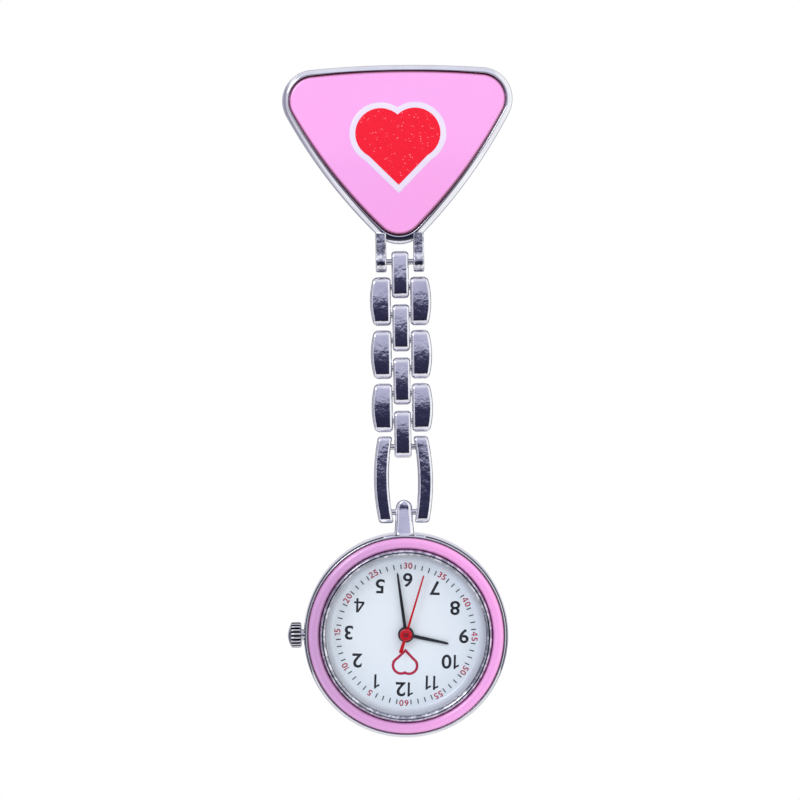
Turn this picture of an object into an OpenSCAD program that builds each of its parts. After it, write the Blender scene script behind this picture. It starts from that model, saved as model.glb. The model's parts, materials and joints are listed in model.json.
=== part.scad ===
// Nurse's fob watch: a triangular pin brooch, a jointed link chain and a round
// quartz watch that hangs upside down so that its wearer can read it.
// Units are mm, +Z is up, the front faces -Y. The origin is on the axis of the
// brooch's needle, halfway along its straight length.

/* [Brooch] */
// Half the distance between the upper corner centres of the coloured plate
brooch_corner_x = 11.5; // [8:0.1:16]
// Height of the upper corner centres above the brooch centre
brooch_corner_z = 6.55; // [4:0.05:10]
// Depth of the lower corner centre below the brooch centre
brooch_tip_z = 8.55; // [6:0.05:14]
// Corner radius of the coloured plate
brooch_corner_r = 3.4; // [2:0.1:5]
// Radius of the bowed upper edge
brooch_top_r = 143; // [60:1:300]
// Radius of the bowed slanting edges
brooch_side_r = 70; // [50:1:200]
// Width of the metal rim around the coloured plate
brooch_rim_w = 0.9; // [0.6:0.05:1.6]
// Thickness of the brooch casting
brooch_t = 2.2; // [1.8:0.1:3.5]
// Thickness of the casting behind the coloured plate
brooch_floor_t = 0.8; // [0.5:0.1:1.2]
// Height of the coloured dome above the rim at its middle
dome_rise = 1.0; // [0.4:0.1:2]
// Radius of the coloured dome
dome_r = 110; // [60:1:200]
// Width of the white heart that backs the emblem
emblem_w = 13.3; // [8:0.1:14]
// Width of the white border around the red heart
emblem_border = 0.8; // [0.5:0.05:1.2]
// Height of the needle above the brooch centre
needle_z = 4.6; // [3:0.1:6]

/* [Pin] */
// Radius of the needle
needle_r = 0.35; // [0.3:0.05:0.5]
// Straight length of the needle
needle_l = 20; // [16:0.5:22]
// Length of the needle's tapered point
needle_tip_l = 2.3; // [1.5:0.1:3]
// Distance from the needle's axis to the base plate
needle_stand = 1.7; // [1.4:0.1:2.5]
// Thickness of the base plate
pin_base_t = 0.6; // [0.4:0.1:1]
// Height of the base plate
pin_base_h = 3.2; // [2.4:0.1:4]
// Outer radius of the needle's eye
eye_r = 0.8; // [0.7:0.05:1.2]
// Radius of the hinge rivet
rivet_r = 0.3; // [0.2:0.05:0.4]
// Inner radius of the catch
catch_ir = 0.55; // [0.5:0.05:0.7]
// Wall of the catch
catch_wall = 0.35; // [0.3:0.05:0.5]
// Wall of the turning lock
lock_wall = 0.4; // [0.3:0.05:0.6]

/* [Chain] */
// Distance between the two pins of a centre link
centre_pitch = 3.5; // [2.9:0.1:5]
// Distance between the two pins of an outer link
outer_pitch = 3.8; // [3.5:0.1:5]
// Distance between the two pins of the long end link
end_pitch = 8.95; // [7:0.05:12]
// Width of a centre link
centre_w = 2.35; // [1.8:0.05:3]
// Side gap between a centre link and an outer link
side_gap = 0.15; // [0.1:0.05:0.4]
// Width of one outer link at its middle
outer_w = 2.88; // [2.2:0.02:3.6]
// How much the outer edge of an outer link bows out
outer_bow = 0.5; // [0.1:0.05:0.8]
// Gap between one centre link and the next
centre_row_gap = 0.8; // [0.5:0.05:1.2]
// Gap between one pair of outer links and the next
outer_row_gap = 0.6; // [0.5:0.05:1]
// Gap between the last outer links and the end link
end_row_gap = 0.55; // [0.4:0.05:1]
// Thickness of the links
link_t = 2.5; // [2:0.1:3]
// Corner radius of the links seen from the front
link_corner = 0.55; // [0.3:0.05:0.9]
// Radius of the link pins
link_pin_r = 0.4; // [0.3:0.05:0.5]
// Radial clearance between a link and the pin it turns on
pin_clear = 0.05; // [0.02:0.01:0.1]
// Width of one bar of the end link at its middle
end_bar_w = 2.06; // [1.7:0.02:2.6]
// Thickness of the end link
end_t = 2.2; // [1.8:0.1:3]

/* [Clevis] */
// Width of each lug
lug_w = 1.47; // [1:0.05:2]
// Radius of the lugs around the pin
lug_r = 1.45; // [1.2:0.05:1.6]
// Depth of the lug pin below the brooch centre
lug_drop = 15.64; // [15.4:0.02:18]

/* [Watch] */
// Outer radius of the watch case
case_r = 14; // [13.6:0.1:18]
// Height of the bow's pin above the case's edge
bow_rise = 2.78; // [2.6:0.02:4]
// Half width of the bow at its pin
bow_half_w = 1.15; // [0.9:0.05:1.3]
// Thickness of the bow
bow_t = 2.2; // [1.8:0.1:3]
// Width of the coloured ring
inlay_w = 1.62; // [1.2:0.02:1.7]
// Clearance between parts that stay still
seat_clear = 0.03; // [0.01:0.01:0.05]
// Thickness of the dial
dial_t = 0.4; // [0.3:0.05:0.5]

/* [Crown] */
// Radius of the crown
crown_r = 1.775; // [1.4:0.025:2]
// Length of the crown's fluted band
crown_band = 1.5; // [1:0.1:2.5]
// Number of flutes around the crown
crown_flutes = 20; // [12:1:28]
// Radius of the stem
stem_r = 0.4; // [0.3:0.05:0.5]

/* [Hands] */
// Length of the minute hand
minute_l = 8.56; // [7:0.02:9]
// Length of the hour hand
hour_l = 5.96; // [4.5:0.02:7]
// Length of the seconds hand
second_l = 8.5; // [7:0.1:9]
// Length of the seconds hand's tail
second_tail = 2.6; // [1.5:0.1:3.5]
// Direction of the minute hand, clockwise from straight up
minute_at = -7; // [-180:1:180]
// Direction of the hour hand, clockwise from straight up
hour_at = 103; // [-180:1:180]
// Direction of the seconds hand, clockwise from straight up
second_at = 17.6; // [-180:0.1:180]

/* [Movement] */
// Radius of the main plate
plate_r = 10; // [9.8:0.05:10]
// Distance from the centre to the third and fifth wheels
train_d = 2.52; // [2.5:0.01:2.6]
// Module of the gear that turns the rotor's pinion
rotor_mod = 0.07; // [0.06:0.005:0.075]
// Distance from the centre to the minute wheel
minute_wheel_d = 2.16; // [2.1:0.02:2.3]
// Radius of the battery
battery_r = 3.4; // [3.2:0.1:3.5]
// Height of the battery
battery_h = 2.6; // [2.1:0.05:2.6]
// Distance from the centre to the battery
battery_d = 6.1; // [6:0.05:6.2]

/* [Hidden] */
$fn = 48;
eps = 0.01;
// the chain, the brooch casting and the watch share one middle plane
mid_y = -needle_stand - pin_base_t - brooch_t / 2;
brooch_z = -needle_z;
p0_z = brooch_z - lug_drop;
p1_z = p0_z - centre_pitch;
p2_z = p1_z - outer_pitch;
p3_z = p2_z - centre_pitch;
p4_z = p3_z - outer_pitch;
p5_z = p4_z - centre_pitch;
p6_z = p5_z - outer_pitch;
p7_z = p6_z - centre_pitch;
p8_z = p7_z - end_pitch;
bow_height = case_r + bow_rise;
watch_z = p8_z - bow_height;

// depths are measured from the middle plane towards the front
back_w = -brooch_t / 2;
front_w = brooch_t / 2;
needle_w = -brooch_t / 2 - pin_base_t - needle_stand;
floor_w = back_w + brooch_floor_t;
dome_top_w = front_w + dome_rise;
rim_tip_drop = 0.35;
edge_step = 0.18;

hinge_x = -needle_l / 2 - eye_r;
ear_t = 0.5;
eye_h = 1.5;
running = 0.04;
catch_or = catch_ir + catch_wall;
lock_ir = catch_or + 0.05;
lock_or = lock_ir + lock_wall;
catch_x0 = needle_l / 2 + 0.2;
catch_flange = 0.25;
lock_l = 1.5;
lock_x0 = catch_x0 + catch_flange + 0.05;
post_x0 = lock_x0 + lock_l + 0.05;
post_l = 0.8;

// each link reaches past its pins as far as its neighbour in the same row lets it
centre_over = (outer_pitch - centre_row_gap) / 2;
outer_over = (centre_pitch - outer_row_gap) / 2;
end_over = centre_pitch - outer_over - end_row_gap;
// the outer links, the lugs and the end link all leave room for a centre link
outer_in = centre_w / 2 + side_gap;
lug_gap = centre_w / 2 + 0.675;
end_gap = centre_w / 2 + 0.815;
end_half_w = end_gap + end_bar_w;
// the pin holes are blind, so this much metal closes them
outer_hole_wall = 0.905;
end_hole_wall = 1.05;
pin_hole_end = outer_in + outer_w - outer_hole_wall;
pin_half_l = pin_hole_end - 0.05;
end_hole_end = end_half_w - end_hole_wall;
end_pin_half_l = end_hole_end - 0.05;
end_curve_r = 28;
end_inner_curve_r = 31;

// watch depths
case_back_w = -3.6;
case_seat_w = -3.0;
channel_w = 1.9;
case_lip_w = 2.65;
ledge_w = 1.4;
caseback_w = -3.9;
// radii, each from the next one out
lip_r = case_r - 0.55;
inlay_or = lip_r - seat_clear;
inlay_ir = inlay_or - inlay_w;
bezel_or = inlay_ir - 0.05;
bezel_ir = bezel_or - 0.45;
crystal_r = bezel_ir - 0.2;
bezel_lip_r = crystal_r - 0.1;
ledge_r = crystal_r - 0.15;
case_bore_r = ledge_r + 0.2;
dial_r = case_bore_r - 0.05;
flange_ir = dial_r - 1.05;
gasket_ir = case_bore_r + 0.23;
gasket_or = gasket_ir + 0.44;
caseback_r = case_bore_r + 1;
dial_back_w = -dial_t / 2;
dial_front_w = dial_t / 2;
bezel_lip_w = 3.0;
bezel_top_w = 3.25;
crystal_edge_w = 2.95;
crystal_top_w = 3.4;
inlay_mid = (inlay_ir + inlay_or) / 2;
inlay_half = inlay_w / 2;
inlay_edge_w = 2.4;
inlay_top_w = 3.0;

plate_w0 = -1.3;
plate_w1 = -0.85;
bridge_w0 = -2.95;
bridge_w1 = -2.55;
stem_w = -1.95;
tube_x0 = -case_r - 0.5;
tube_x1 = -case_bore_r - 1.05;
crown_x0 = -case_r - 0.4;
crown_dome = 0.4;
stem_end_x = -3.3;
square_x = -5.0;
square_w = 0.5;

// the wheels of the train: tooth counts and modules
centre_teeth = 64;
third_teeth = 60;
fourth_teeth = 50;
fifth_teeth = 48;
train_pinion = 8;
fifth_pinion = 10;
cannon_teeth = 12;
minute_wheel_teeth = 36;
minute_pinion = 10;
hour_teeth = 40;
centre_mod = 2 * train_d / (centre_teeth + train_pinion);
third_mod = 2 * train_d / (third_teeth + train_pinion);
fourth_mod = 2 * train_d / (fourth_teeth + fifth_pinion);
cannon_mod = 2 * minute_wheel_d / (cannon_teeth + minute_wheel_teeth);
hour_mod = 2 * minute_wheel_d / (hour_teeth + minute_pinion);
rotor_d = rotor_mod * (fifth_teeth + train_pinion) / 2;
third_dir = 270;
fifth_dir = 0;
rotor_dir = -20;
minute_wheel_dir = 225;
arbor_r = 0.12;
pivot_r = 0.15;
tube_r = 0.35;
tube_bore_r = 0.17;
pipe_bore_r = 0.39;
pipe_r = 0.6;
rotor_x = train_d + rotor_d * cos(rotor_dir);
rotor_y = rotor_d * sin(rotor_dir);
third_x = train_d * cos(third_dir);
third_y = train_d * sin(third_dir);
mw_x = minute_wheel_d * cos(minute_wheel_dir);
mw_y = minute_wheel_d * sin(minute_wheel_dir);
posts = [[-4.7, 4.6], [-2.9, -3.75], [3.6, -6.3], [7.4, 5.0]];
coil_x = 7.1;
coil_y0 = -4.4;
coil_y1 = 2.0;
coil_r = 0.55;
stator_w0 = -1.9;
stator_w1 = -1.6;

steel = [0.78, 0.79, 0.82];
dark_steel = [0.5, 0.51, 0.54];
brass = [0.82, 0.68, 0.38];
pink = [0.97, 0.66, 0.9];
red = [0.9, 0.08, 0.16];
white = [0.96, 0.96, 0.98];
black = [0.06, 0.06, 0.07];

// draws a front view, with x to the right, y up and z towards the front
module facing(z = 0) {
    translate([0, mid_y, z])
        rotate([90, 0, 0])
            children();
}

// a cylinder along x
module rod_x(x0, x1, r) {
    translate([x0, 0, 0])
        rotate([0, 90, 0])
            cylinder(h = x1 - x0, r = r);
}

module rounded_bar(x0, x1, y0, y1, r) {
    translate([x0 + r, y0])
        square([x1 - x0 - 2 * r, y1 - y0]);
    translate([x0, y0 + r])
        square([x1 - x0, y1 - y0 - 2 * r]);
    for (x = [x0 + r, x1 - r])
        for (y = [y0 + r, y1 - r])
            translate([x, y])
                circle(r = r, $fn = 32);
}

// ---- the brooch ----

// where the bowed edge that joins two corner circles has its centre
function side_centre(tip, out) =
    let (a = brooch_side_r - brooch_corner_r)
    let (dx = brooch_corner_x)
    let (dy = brooch_corner_z + tip)
    let (d = sqrt(dx * dx + dy * dy))
    let (h = sqrt(a * a - d * d / 4))
    [dx / 2 - h * dy / d, (brooch_corner_z - tip) / 2 + h * dx / d];

function along(from, to, r) =
    let (v = to - from)
    to + v * r / norm(v);

// the rounded triangle, grown by out, with its lower corner lowered by drop
module triangle(out, drop = 0) {
    r = brooch_corner_r + out;
    tip = brooch_tip_z + drop;
    right = [brooch_corner_x, brooch_corner_z];
    left = [-brooch_corner_x, brooch_corner_z];
    low = [0, -tip];
    top_c = [0, brooch_corner_z - sqrt(pow(brooch_top_r - brooch_corner_r, 2) - pow(brooch_corner_x, 2))];
    side_c = side_centre(tip, out);
    other_c = [-side_c[0], side_c[1]];
    far = 6;
    mid = (right + low) / 2;
    away = [far * (brooch_corner_z + tip) / 10, -far * brooch_corner_x / 10];
    for (c = [right, left, low])
        translate(c)
            circle(r = r, $fn = 72);
    intersection() {
        translate(top_c)
            circle(r = brooch_top_r + out, $fn = 360);
        translate(side_c)
            circle(r = brooch_side_r + out, $fn = 360);
        translate(other_c)
            circle(r = brooch_side_r + out, $fn = 360);
        polygon([
            along(top_c, left, r),
            [0, brooch_corner_z + far + r],
            along(top_c, right, r),
            along(side_c, right, r),
            mid + away,
            along(side_c, low, r),
            along(other_c, low, r),
            [-mid[0] - away[0], mid[1] + away[1]],
            along(other_c, left, r)
        ]);
    }
}

function arc(c, r, from, to, n) =
    [for (i = [0 : n]) let (a = from + (to - from) * i / n) c + r * [cos(a), sin(a)]];

function heading(from, to) = atan2(to[1] - from[1], to[0] - from[0]);

// the same outline as a chain of short sides, which a dome can trim
module fine_triangle() {
    r = brooch_corner_r;
    right = [brooch_corner_x, brooch_corner_z];
    low = [0, -brooch_tip_z];
    top_c = [0, brooch_corner_z - sqrt(pow(brooch_top_r - r, 2) - pow(brooch_corner_x, 2))];
    side_c = side_centre(brooch_tip_z, 0);
    up = heading(top_c, right);
    down = heading(side_c, right);
    tip = heading(side_c, low);
    half = concat(
        arc(side_c, brooch_side_r, tip, down, 16),
        arc(right, r, down, up, 20),
        arc(top_c, brooch_top_r, up, 90, 8),
    );
    low_half = arc(low, r, -90, tip, 10);
    // the lists share their end points, so each drops its first one
    right_side = concat(low_half, [for (l = [half]) for (i = [1 : len(l) - 1]) l[i]]);
    polygon(concat(
        right_side,
        [for (i = [len(right_side) - 2 : -1 : 1]) [-right_side[i][0], right_side[i][1]]]
    ));
}

module brooch_frame() {
    color(steel)
    difference() {
        union() {
            facing(brooch_z) {
                translate([0, 0, back_w + edge_step])
                    linear_extrude(height = brooch_t - 2 * edge_step)
                        triangle(brooch_rim_w, rim_tip_drop);
                translate([0, 0, back_w])
                    linear_extrude(height = brooch_t)
                        triangle(brooch_rim_w - edge_step, rim_tip_drop);
            }
            for (side = [-1, 1])
                translate([side * (lug_gap + lug_w / 2), mid_y, p0_z]) {
                    rod_x(-lug_w / 2, lug_w / 2, lug_r);
                    translate([-lug_w / 2, back_w, 0])
                        cube([lug_w, brooch_t, 3.9]);
                }
        }
        facing(brooch_z)
            translate([0, 0, floor_w])
                linear_extrude(height = brooch_t)
                    triangle(seat_clear);
        translate([0, mid_y, p0_z])
            rod_x(-lug_gap - lug_w - 1, lug_gap + lug_w + 1, link_pin_r + 0.01);
    }
}

// a wide disc with a domed top, whose middle is rise above the plate's
module dome(rise) {
    rotate_extrude($fn = 180)
        intersection() {
            translate([0, floor_w - 1])
                square([brooch_corner_x * 2, dome_top_w + rise - floor_w + 1]);
            translate([0, dome_top_w + rise - dome_r])
                circle(r = dome_r, $fn = 1440);
        }
}

// a heart, grown by a border: a square on its corner under two slightly larger rounds
heart_side = (emblem_w - 2 * emblem_border) / (1.04 + sqrt(0.5));

module heart(grow) {
    translate([0, -0.075 * heart_side]) {
        rotate(45)
            square(heart_side + 2 * grow, center = true);
        for (side = [-1, 1])
            translate([side, 1] * heart_side * sqrt(0.125))
                circle(0.52 * heart_side + grow, $fn = 96);
    }
}

emblem_floor_w = dome_top_w - 1.1;
heart_floor_w = dome_top_w - 0.6;

module brooch_insert() {
    color(pink)
    facing(brooch_z)
        difference() {
            intersection() {
                translate([0, 0, floor_w])
                    linear_extrude(height = dome_top_w - floor_w + 1)
                        fine_triangle();
                dome(0);
            }
            translate([0, 0, emblem_floor_w])
                linear_extrude(height = 2)
                    heart(emblem_border + seat_clear);
        }
}

module emblem_plate() {
    color(white)
    facing(brooch_z)
        difference() {
            intersection() {
                translate([0, 0, emblem_floor_w])
                    linear_extrude(height = 2)
                        heart(emblem_border);
                dome(0.05);
            }
            translate([0, 0, heart_floor_w])
                linear_extrude(height = 2)
                    heart(seat_clear);
        }
}

module emblem_heart() {
    color(red)
    facing(brooch_z)
        intersection() {
            translate([0, 0, heart_floor_w])
                linear_extrude(height = 2)
                    heart(0);
            dome(0.1);
        }
}

// the base plate with the two ears that carry the needle's hinge
module pin_base() {
    ear_r = eye_r;
    color(steel)
    difference() {
        union() {
            translate([hinge_x - ear_r, -needle_stand - pin_base_t, -pin_base_h / 2])
                cube([post_x0 + post_l - hinge_x + ear_r, pin_base_t, pin_base_h]);
            for (z = [eye_h / 2 + running, -eye_h / 2 - running - ear_t])
                translate([hinge_x, 0, z]) {
                    cylinder(h = ear_t, r = ear_r);
                    translate([-ear_r, -needle_stand - eps, 0])
                        cube([2 * ear_r, needle_stand + eps, ear_t]);
                }
        }
        translate([hinge_x, 0, -3])
            cylinder(h = 6, r = rivet_r + 0.01);
    }
}

module hinge_rivet() {
    half = eye_h / 2 + running + ear_t;
    color(dark_steel)
    translate([hinge_x, 0, 0]) {
        translate([0, 0, -half])
            cylinder(h = 2 * half, r = rivet_r);
        for (z = [half, -half - 0.2])
            translate([0, 0, z])
                cylinder(h = 0.2, r = rivet_r + 0.25);
    }
}

// an open ring around the needle's rest place, held up by a post at its far end
module catch_ring() {
    color(steel)
    difference() {
        union() {
            rod_x(catch_x0, post_x0 + post_l, catch_or);
            rod_x(catch_x0, catch_x0 + catch_flange, lock_or);
            translate([post_x0, -needle_stand, -0.9])
                cube([post_l, needle_stand, 1.8]);
        }
        rod_x(catch_x0 - 1, post_x0 + post_l + 1, catch_ir);
        translate([catch_x0 - 1, 0, -0.45])
            cube([post_x0 + post_l - catch_x0 + 2, 3, 0.9]);
    }
}

module catch_lock() {
    knob_l = 1.0;
    color(dark_steel)
    difference() {
        union() {
            rod_x(lock_x0, lock_x0 + lock_l, lock_or);
            rotate([75, 0, 0])
                translate([lock_x0 + 0.35, lock_ir + 0.1, -0.3])
                    cube([lock_l - 0.7, lock_wall + knob_l, 0.6]);
        }
        rod_x(lock_x0 - 1, lock_x0 + lock_l + 1, lock_ir);
        translate([lock_x0 - 1, 0, -0.55])
            cube([lock_l + 2, 3, 1.1]);
    }
}

module pin_stem() {
    color(steel)
    difference() {
        union() {
            translate([hinge_x, 0, -eye_h / 2])
                cylinder(h = eye_h, r = eye_r);
            rod_x(hinge_x, needle_l / 2, needle_r);
            translate([needle_l / 2, 0, 0])
                rotate([0, 90, 0])
                    cylinder(h = needle_tip_l, r1 = needle_r, r2 = 0.08);
        }
        translate([hinge_x, 0, -2])
            cylinder(h = 4, r = rivet_r + running);
    }
}

module clevis_pin() {
    color(dark_steel)
    translate([0, mid_y, p0_z])
        rod_x(-lug_gap - lug_w + 0.05, lug_gap + lug_w - 0.05, link_pin_r);
}

// ---- the chain ----

// the rounded side view of a link, as a solid that runs along x
module link_side(pitch, over, t, half_w) {
    translate([-half_w, 0, 0])
        rotate([90, 0, 90])
            linear_extrude(height = 2 * half_w)
                rounded_bar(-t / 2, t / 2, -pitch - over, over, t * 0.38);
}

module centre_link(top_z) {
    low_z = -centre_pitch - centre_over;
    color(steel)
    translate([0, mid_y, top_z])
        difference() {
            intersection() {
                translate([0, link_t, 0])
                    rotate([90, 0, 0])
                        linear_extrude(height = 2 * link_t)
                            rounded_bar(-centre_w / 2, centre_w / 2, low_z, centre_over, link_corner);
                link_side(centre_pitch, centre_over, link_t, centre_w);
            }
            for (z = [0, -centre_pitch])
                translate([0, 0, z])
                    rod_x(-centre_w, centre_w, link_pin_r + pin_clear);
        }
}

module outer_link(top_z, side) {
    edge_x = outer_in + outer_w;
    low_z = -outer_pitch - outer_over;
    half_l = outer_pitch / 2 + outer_over;
    bow_r = (half_l * half_l + outer_bow * outer_bow) / (2 * outer_bow);
    color(steel)
    translate([0, mid_y, top_z])
        difference() {
            intersection() {
                translate([0, link_t, 0])
                    rotate([90, 0, 0])
                        linear_extrude(height = 2 * link_t)
                            scale([side, 1])
                                intersection() {
                                    rounded_bar(outer_in, edge_x, low_z, outer_over, link_corner);
                                    translate([edge_x - bow_r, -outer_pitch / 2])
                                        circle(r = bow_r, $fn = 240);
                                }
                link_side(outer_pitch, outer_over, link_t, end_half_w + 1);
            }
            for (z = [0, -outer_pitch])
                translate([0, 0, z])
                    rod_x(-pin_hole_end, pin_hole_end, link_pin_r + 0.01);
        }
}

module link_pin_pair(top_z) {
    color(dark_steel)
    for (z = [0, -outer_pitch])
        translate([0, mid_y, top_z + z])
            rod_x(-pin_half_l, pin_half_l, link_pin_r);
}

module end_link(side) {
    mid_z = -end_pitch / 2;
    color(steel)
    translate([0, mid_y, p7_z])
        difference() {
            intersection() {
                translate([0, end_t, 0])
                    rotate([90, 0, 0])
                        linear_extrude(height = 2 * end_t)
                            scale([side, 1])
                                difference() {
                                    intersection() {
                                        rounded_bar(0, end_half_w, -end_pitch - end_over, end_over, 0.3);
                                        translate([end_half_w - end_curve_r, mid_z])
                                            circle(r = end_curve_r, $fn = 360);
                                    }
                                    translate([end_gap - end_inner_curve_r, mid_z])
                                        circle(r = end_inner_curve_r, $fn = 360);
                                }
                link_side(end_pitch, end_over, end_t, end_half_w + 1);
            }
            for (z = [0, -end_pitch])
                translate([0, 0, z])
                    rod_x(-end_hole_end, end_hole_end, link_pin_r + 0.01);
        }
}

module end_link_pins() {
    color(dark_steel)
    for (z = [p7_z, p8_z])
        translate([0, mid_y, z])
            rod_x(-end_pin_half_l, end_pin_half_l, link_pin_r);
}

module centre_link_1() { centre_link(p0_z); }
module centre_link_2() { centre_link(p2_z); }
module centre_link_3() { centre_link(p4_z); }
module centre_link_4() { centre_link(p6_z); }
module outer_link_1_left() { outer_link(p1_z, -1); }
module outer_link_1_right() { outer_link(p1_z, 1); }
module outer_link_2_left() { outer_link(p3_z, -1); }
module outer_link_2_right() { outer_link(p3_z, 1); }
module outer_link_3_left() { outer_link(p5_z, -1); }
module outer_link_3_right() { outer_link(p5_z, 1); }
module link_pins_1() { link_pin_pair(p1_z); }
module link_pins_2() { link_pin_pair(p3_z); }
module link_pins_3() { link_pin_pair(p5_z); }
module end_link_left() { end_link(-1); }
module end_link_right() { end_link(1); }

// ---- the watch's case ----

// the stem's way in, a bore along x from the left
module stem_way(x0, x1, r) {
    translate([0, 0, stem_w])
        rod_x(x0, x1, r);
}

module case() {
    color(steel)
    facing(watch_z)
        difference() {
            union() {
                rotate_extrude($fn = 120)
                    polygon([
                        [caseback_r + 0.05, case_back_w],
                        [case_r - 0.7, case_back_w],
                        [case_r, case_back_w + 0.8],
                        [case_r, 1.5],
                        [case_r - 0.15, 2.2],
                        [case_r - 0.4, case_lip_w],
                        [lip_r, case_lip_w],
                        [lip_r, channel_w],
                        [ledge_r, channel_w],
                        [ledge_r, ledge_w],
                        [case_bore_r, ledge_w],
                        [case_bore_r, case_seat_w],
                        [caseback_r + 0.05, case_seat_w]
                    ]);
                translate([0, bow_height, -bow_t / 2])
                    linear_extrude(height = bow_t) {
                        polygon([
                            [-bow_half_w - 0.27, -bow_rise - 0.6],
                            [bow_half_w + 0.27, -bow_rise - 0.6],
                            [bow_half_w, 0.55],
                            [-bow_half_w, 0.55]
                        ]);
                        translate([0, 0.55])
                            circle(r = bow_half_w);
                    }
            }
            translate([0, bow_height, 0])
                rod_x(-3, 3, link_pin_r + pin_clear);
            stem_way(-case_r - 1, -case_bore_r + 1, 0.8);
        }
}

module bezel_inlay() {
    bulge = inlay_top_w - inlay_edge_w;
    r = (inlay_half * inlay_half + bulge * bulge) / (2 * bulge);
    color(pink)
    facing(watch_z)
        rotate_extrude($fn = 120)
            intersection() {
                translate([inlay_ir, channel_w + seat_clear])
                    square([2 * inlay_half, inlay_top_w]);
                union() {
                    translate([inlay_mid, inlay_top_w - r])
                        circle(r = r);
                    translate([inlay_ir, channel_w])
                        square([2 * inlay_half, inlay_edge_w - channel_w]);
                }
            }
}

module crystal_bezel() {
    color(steel)
    facing(watch_z)
        rotate_extrude($fn = 120)
            polygon([
                [bezel_ir, channel_w + seat_clear],
                [bezel_or, channel_w + seat_clear],
                [bezel_or, bezel_lip_w],
                [bezel_or - 0.2, bezel_top_w],
                [bezel_lip_r + 0.15, bezel_top_w],
                [bezel_lip_r, bezel_top_w - 0.1],
                [bezel_lip_r, bezel_lip_w],
                [bezel_ir, bezel_lip_w]
            ]);
}

module crystal() {
    rise = crystal_top_w - crystal_edge_w;
    r = (crystal_r * crystal_r + rise * rise) / (2 * rise);
    color([0.85, 0.92, 0.97, 0.35])
    facing(watch_z)
        rotate_extrude($fn = 120)
            intersection() {
                translate([0, channel_w + seat_clear])
                    square([crystal_r, crystal_top_w - channel_w]);
                translate([0, crystal_top_w - r])
                    circle(r = r, $fn = 720);
            }
}

module crystal_gasket() {
    color(black)
    facing(watch_z)
        rotate_extrude($fn = 120)
            translate([crystal_r + 0.02, channel_w + seat_clear])
                square([bezel_ir - crystal_r - 0.04, bezel_lip_w - channel_w - 0.06]);
}

module dial_flange() {
    color([0.7, 0.72, 0.76])
    facing(watch_z)
        rotate_extrude($fn = 120)
            polygon([
                [flange_ir, dial_front_w + 0.02],
                [dial_r, dial_front_w + 0.02],
                [dial_r, ledge_w - 0.02],
                [dial_r - 0.2, ledge_w - 0.02],
                [flange_ir, dial_front_w + 0.25]
            ]);
}

module dial() {
    color(white)
    facing(watch_z)
        difference() {
            union() {
                translate([0, 0, dial_back_w])
                    cylinder(h = dial_t, r = dial_r, $fn = 120);
                for (a = [150, 330])
                    rotate(a)
                        translate([8.6, 0, plate_w1 - 0.2])
                            cylinder(h = dial_back_w - plate_w1 + 0.2 + eps, r = 0.35);
            }
            translate([0, 0, -1])
                cylinder(h = 2, r = pipe_r + 0.1);
        }
}

module caseback() {
    color(steel)
    facing(watch_z)
        rotate_extrude($fn = 120)
            polygon([
                [0, caseback_w],
                [caseback_r - 0.5, caseback_w],
                [caseback_r, caseback_w + 0.2],
                [caseback_r, case_seat_w - 0.03],
                [gasket_or + 0.03, case_seat_w - 0.03],
                [gasket_or + 0.03, case_seat_w - 0.4],
                [gasket_ir - 0.03, case_seat_w - 0.4],
                [gasket_ir - 0.03, case_seat_w - 0.03],
                [case_bore_r - 0.85, case_seat_w - 0.03],
                [case_bore_r - 0.85, case_seat_w - 0.45],
                [0, case_seat_w - 0.45]
            ]);
}

module caseback_gasket() {
    color(black)
    facing(watch_z)
        rotate_extrude($fn = 120)
            translate([gasket_ir, case_seat_w - 0.38])
                square([gasket_or - gasket_ir, 0.36]);
}

module crown_tube() {
    color(steel)
    facing(watch_z)
        difference() {
            stem_way(tube_x0, tube_x1, 0.78);
            stem_way(tube_x0 - 1, tube_x1 + 1, stem_r + 0.05);
        }
}

// ---- the movement ----

module movement_holder() {
    color([0.9, 0.9, 0.88])
    facing(watch_z)
        difference() {
            translate([0, 0, bridge_w0])
                cylinder(h = dial_back_w - 0.05 - bridge_w0, r = case_bore_r - 0.05, $fn = 120);
            translate([0, 0, bridge_w0 - 1])
                cylinder(h = 5, r = plate_r + 0.05, $fn = 120);
            stem_way(-case_bore_r - 1, -plate_r + 1, stem_r + 0.15);
        }
}

module main_plate() {
    color(brass)
    facing(watch_z)
        difference() {
            union() {
                translate([0, 0, plate_w0])
                    cylinder(h = plate_w1 - plate_w0, r = plate_r, $fn = 96);
                for (p = posts)
                    translate([p[0], p[1], bridge_w1 + 0.01])
                        cylinder(h = plate_w0 - bridge_w1, r = 0.65);
                translate([mw_x, mw_y, plate_w1 - eps])
                    cylinder(h = 0.55, r = 0.15);
                // the block that carries the stem
                translate([-9.2, -1.1, bridge_w1])
                    cube([2.6, 2.2, plate_w0 - bridge_w1 + eps]);
            }
            translate([0, battery_d, plate_w0 - 1])
                cylinder(h = 3, r = battery_r + 0.1);
            translate([0, 0, plate_w0 - 1])
                cylinder(h = 3, r = tube_r + 0.03);
            for (p = [[third_x, third_y], [train_d, 0], [rotor_x, rotor_y]])
                translate([p[0], p[1], plate_w0 - 1])
                    cylinder(h = 3, r = pivot_r);
            for (a = [150, 330])
                rotate(a)
                    translate([8.6, 0, plate_w1 - 0.3])
                        cylinder(h = 1, r = 0.37);
            for (p = posts)
                translate([p[0], p[1], bridge_w1 - 1])
                    cylinder(h = 1.9, r = 0.31);
            stem_way(-10, -6, stem_r + 0.06);
        }
}

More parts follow.
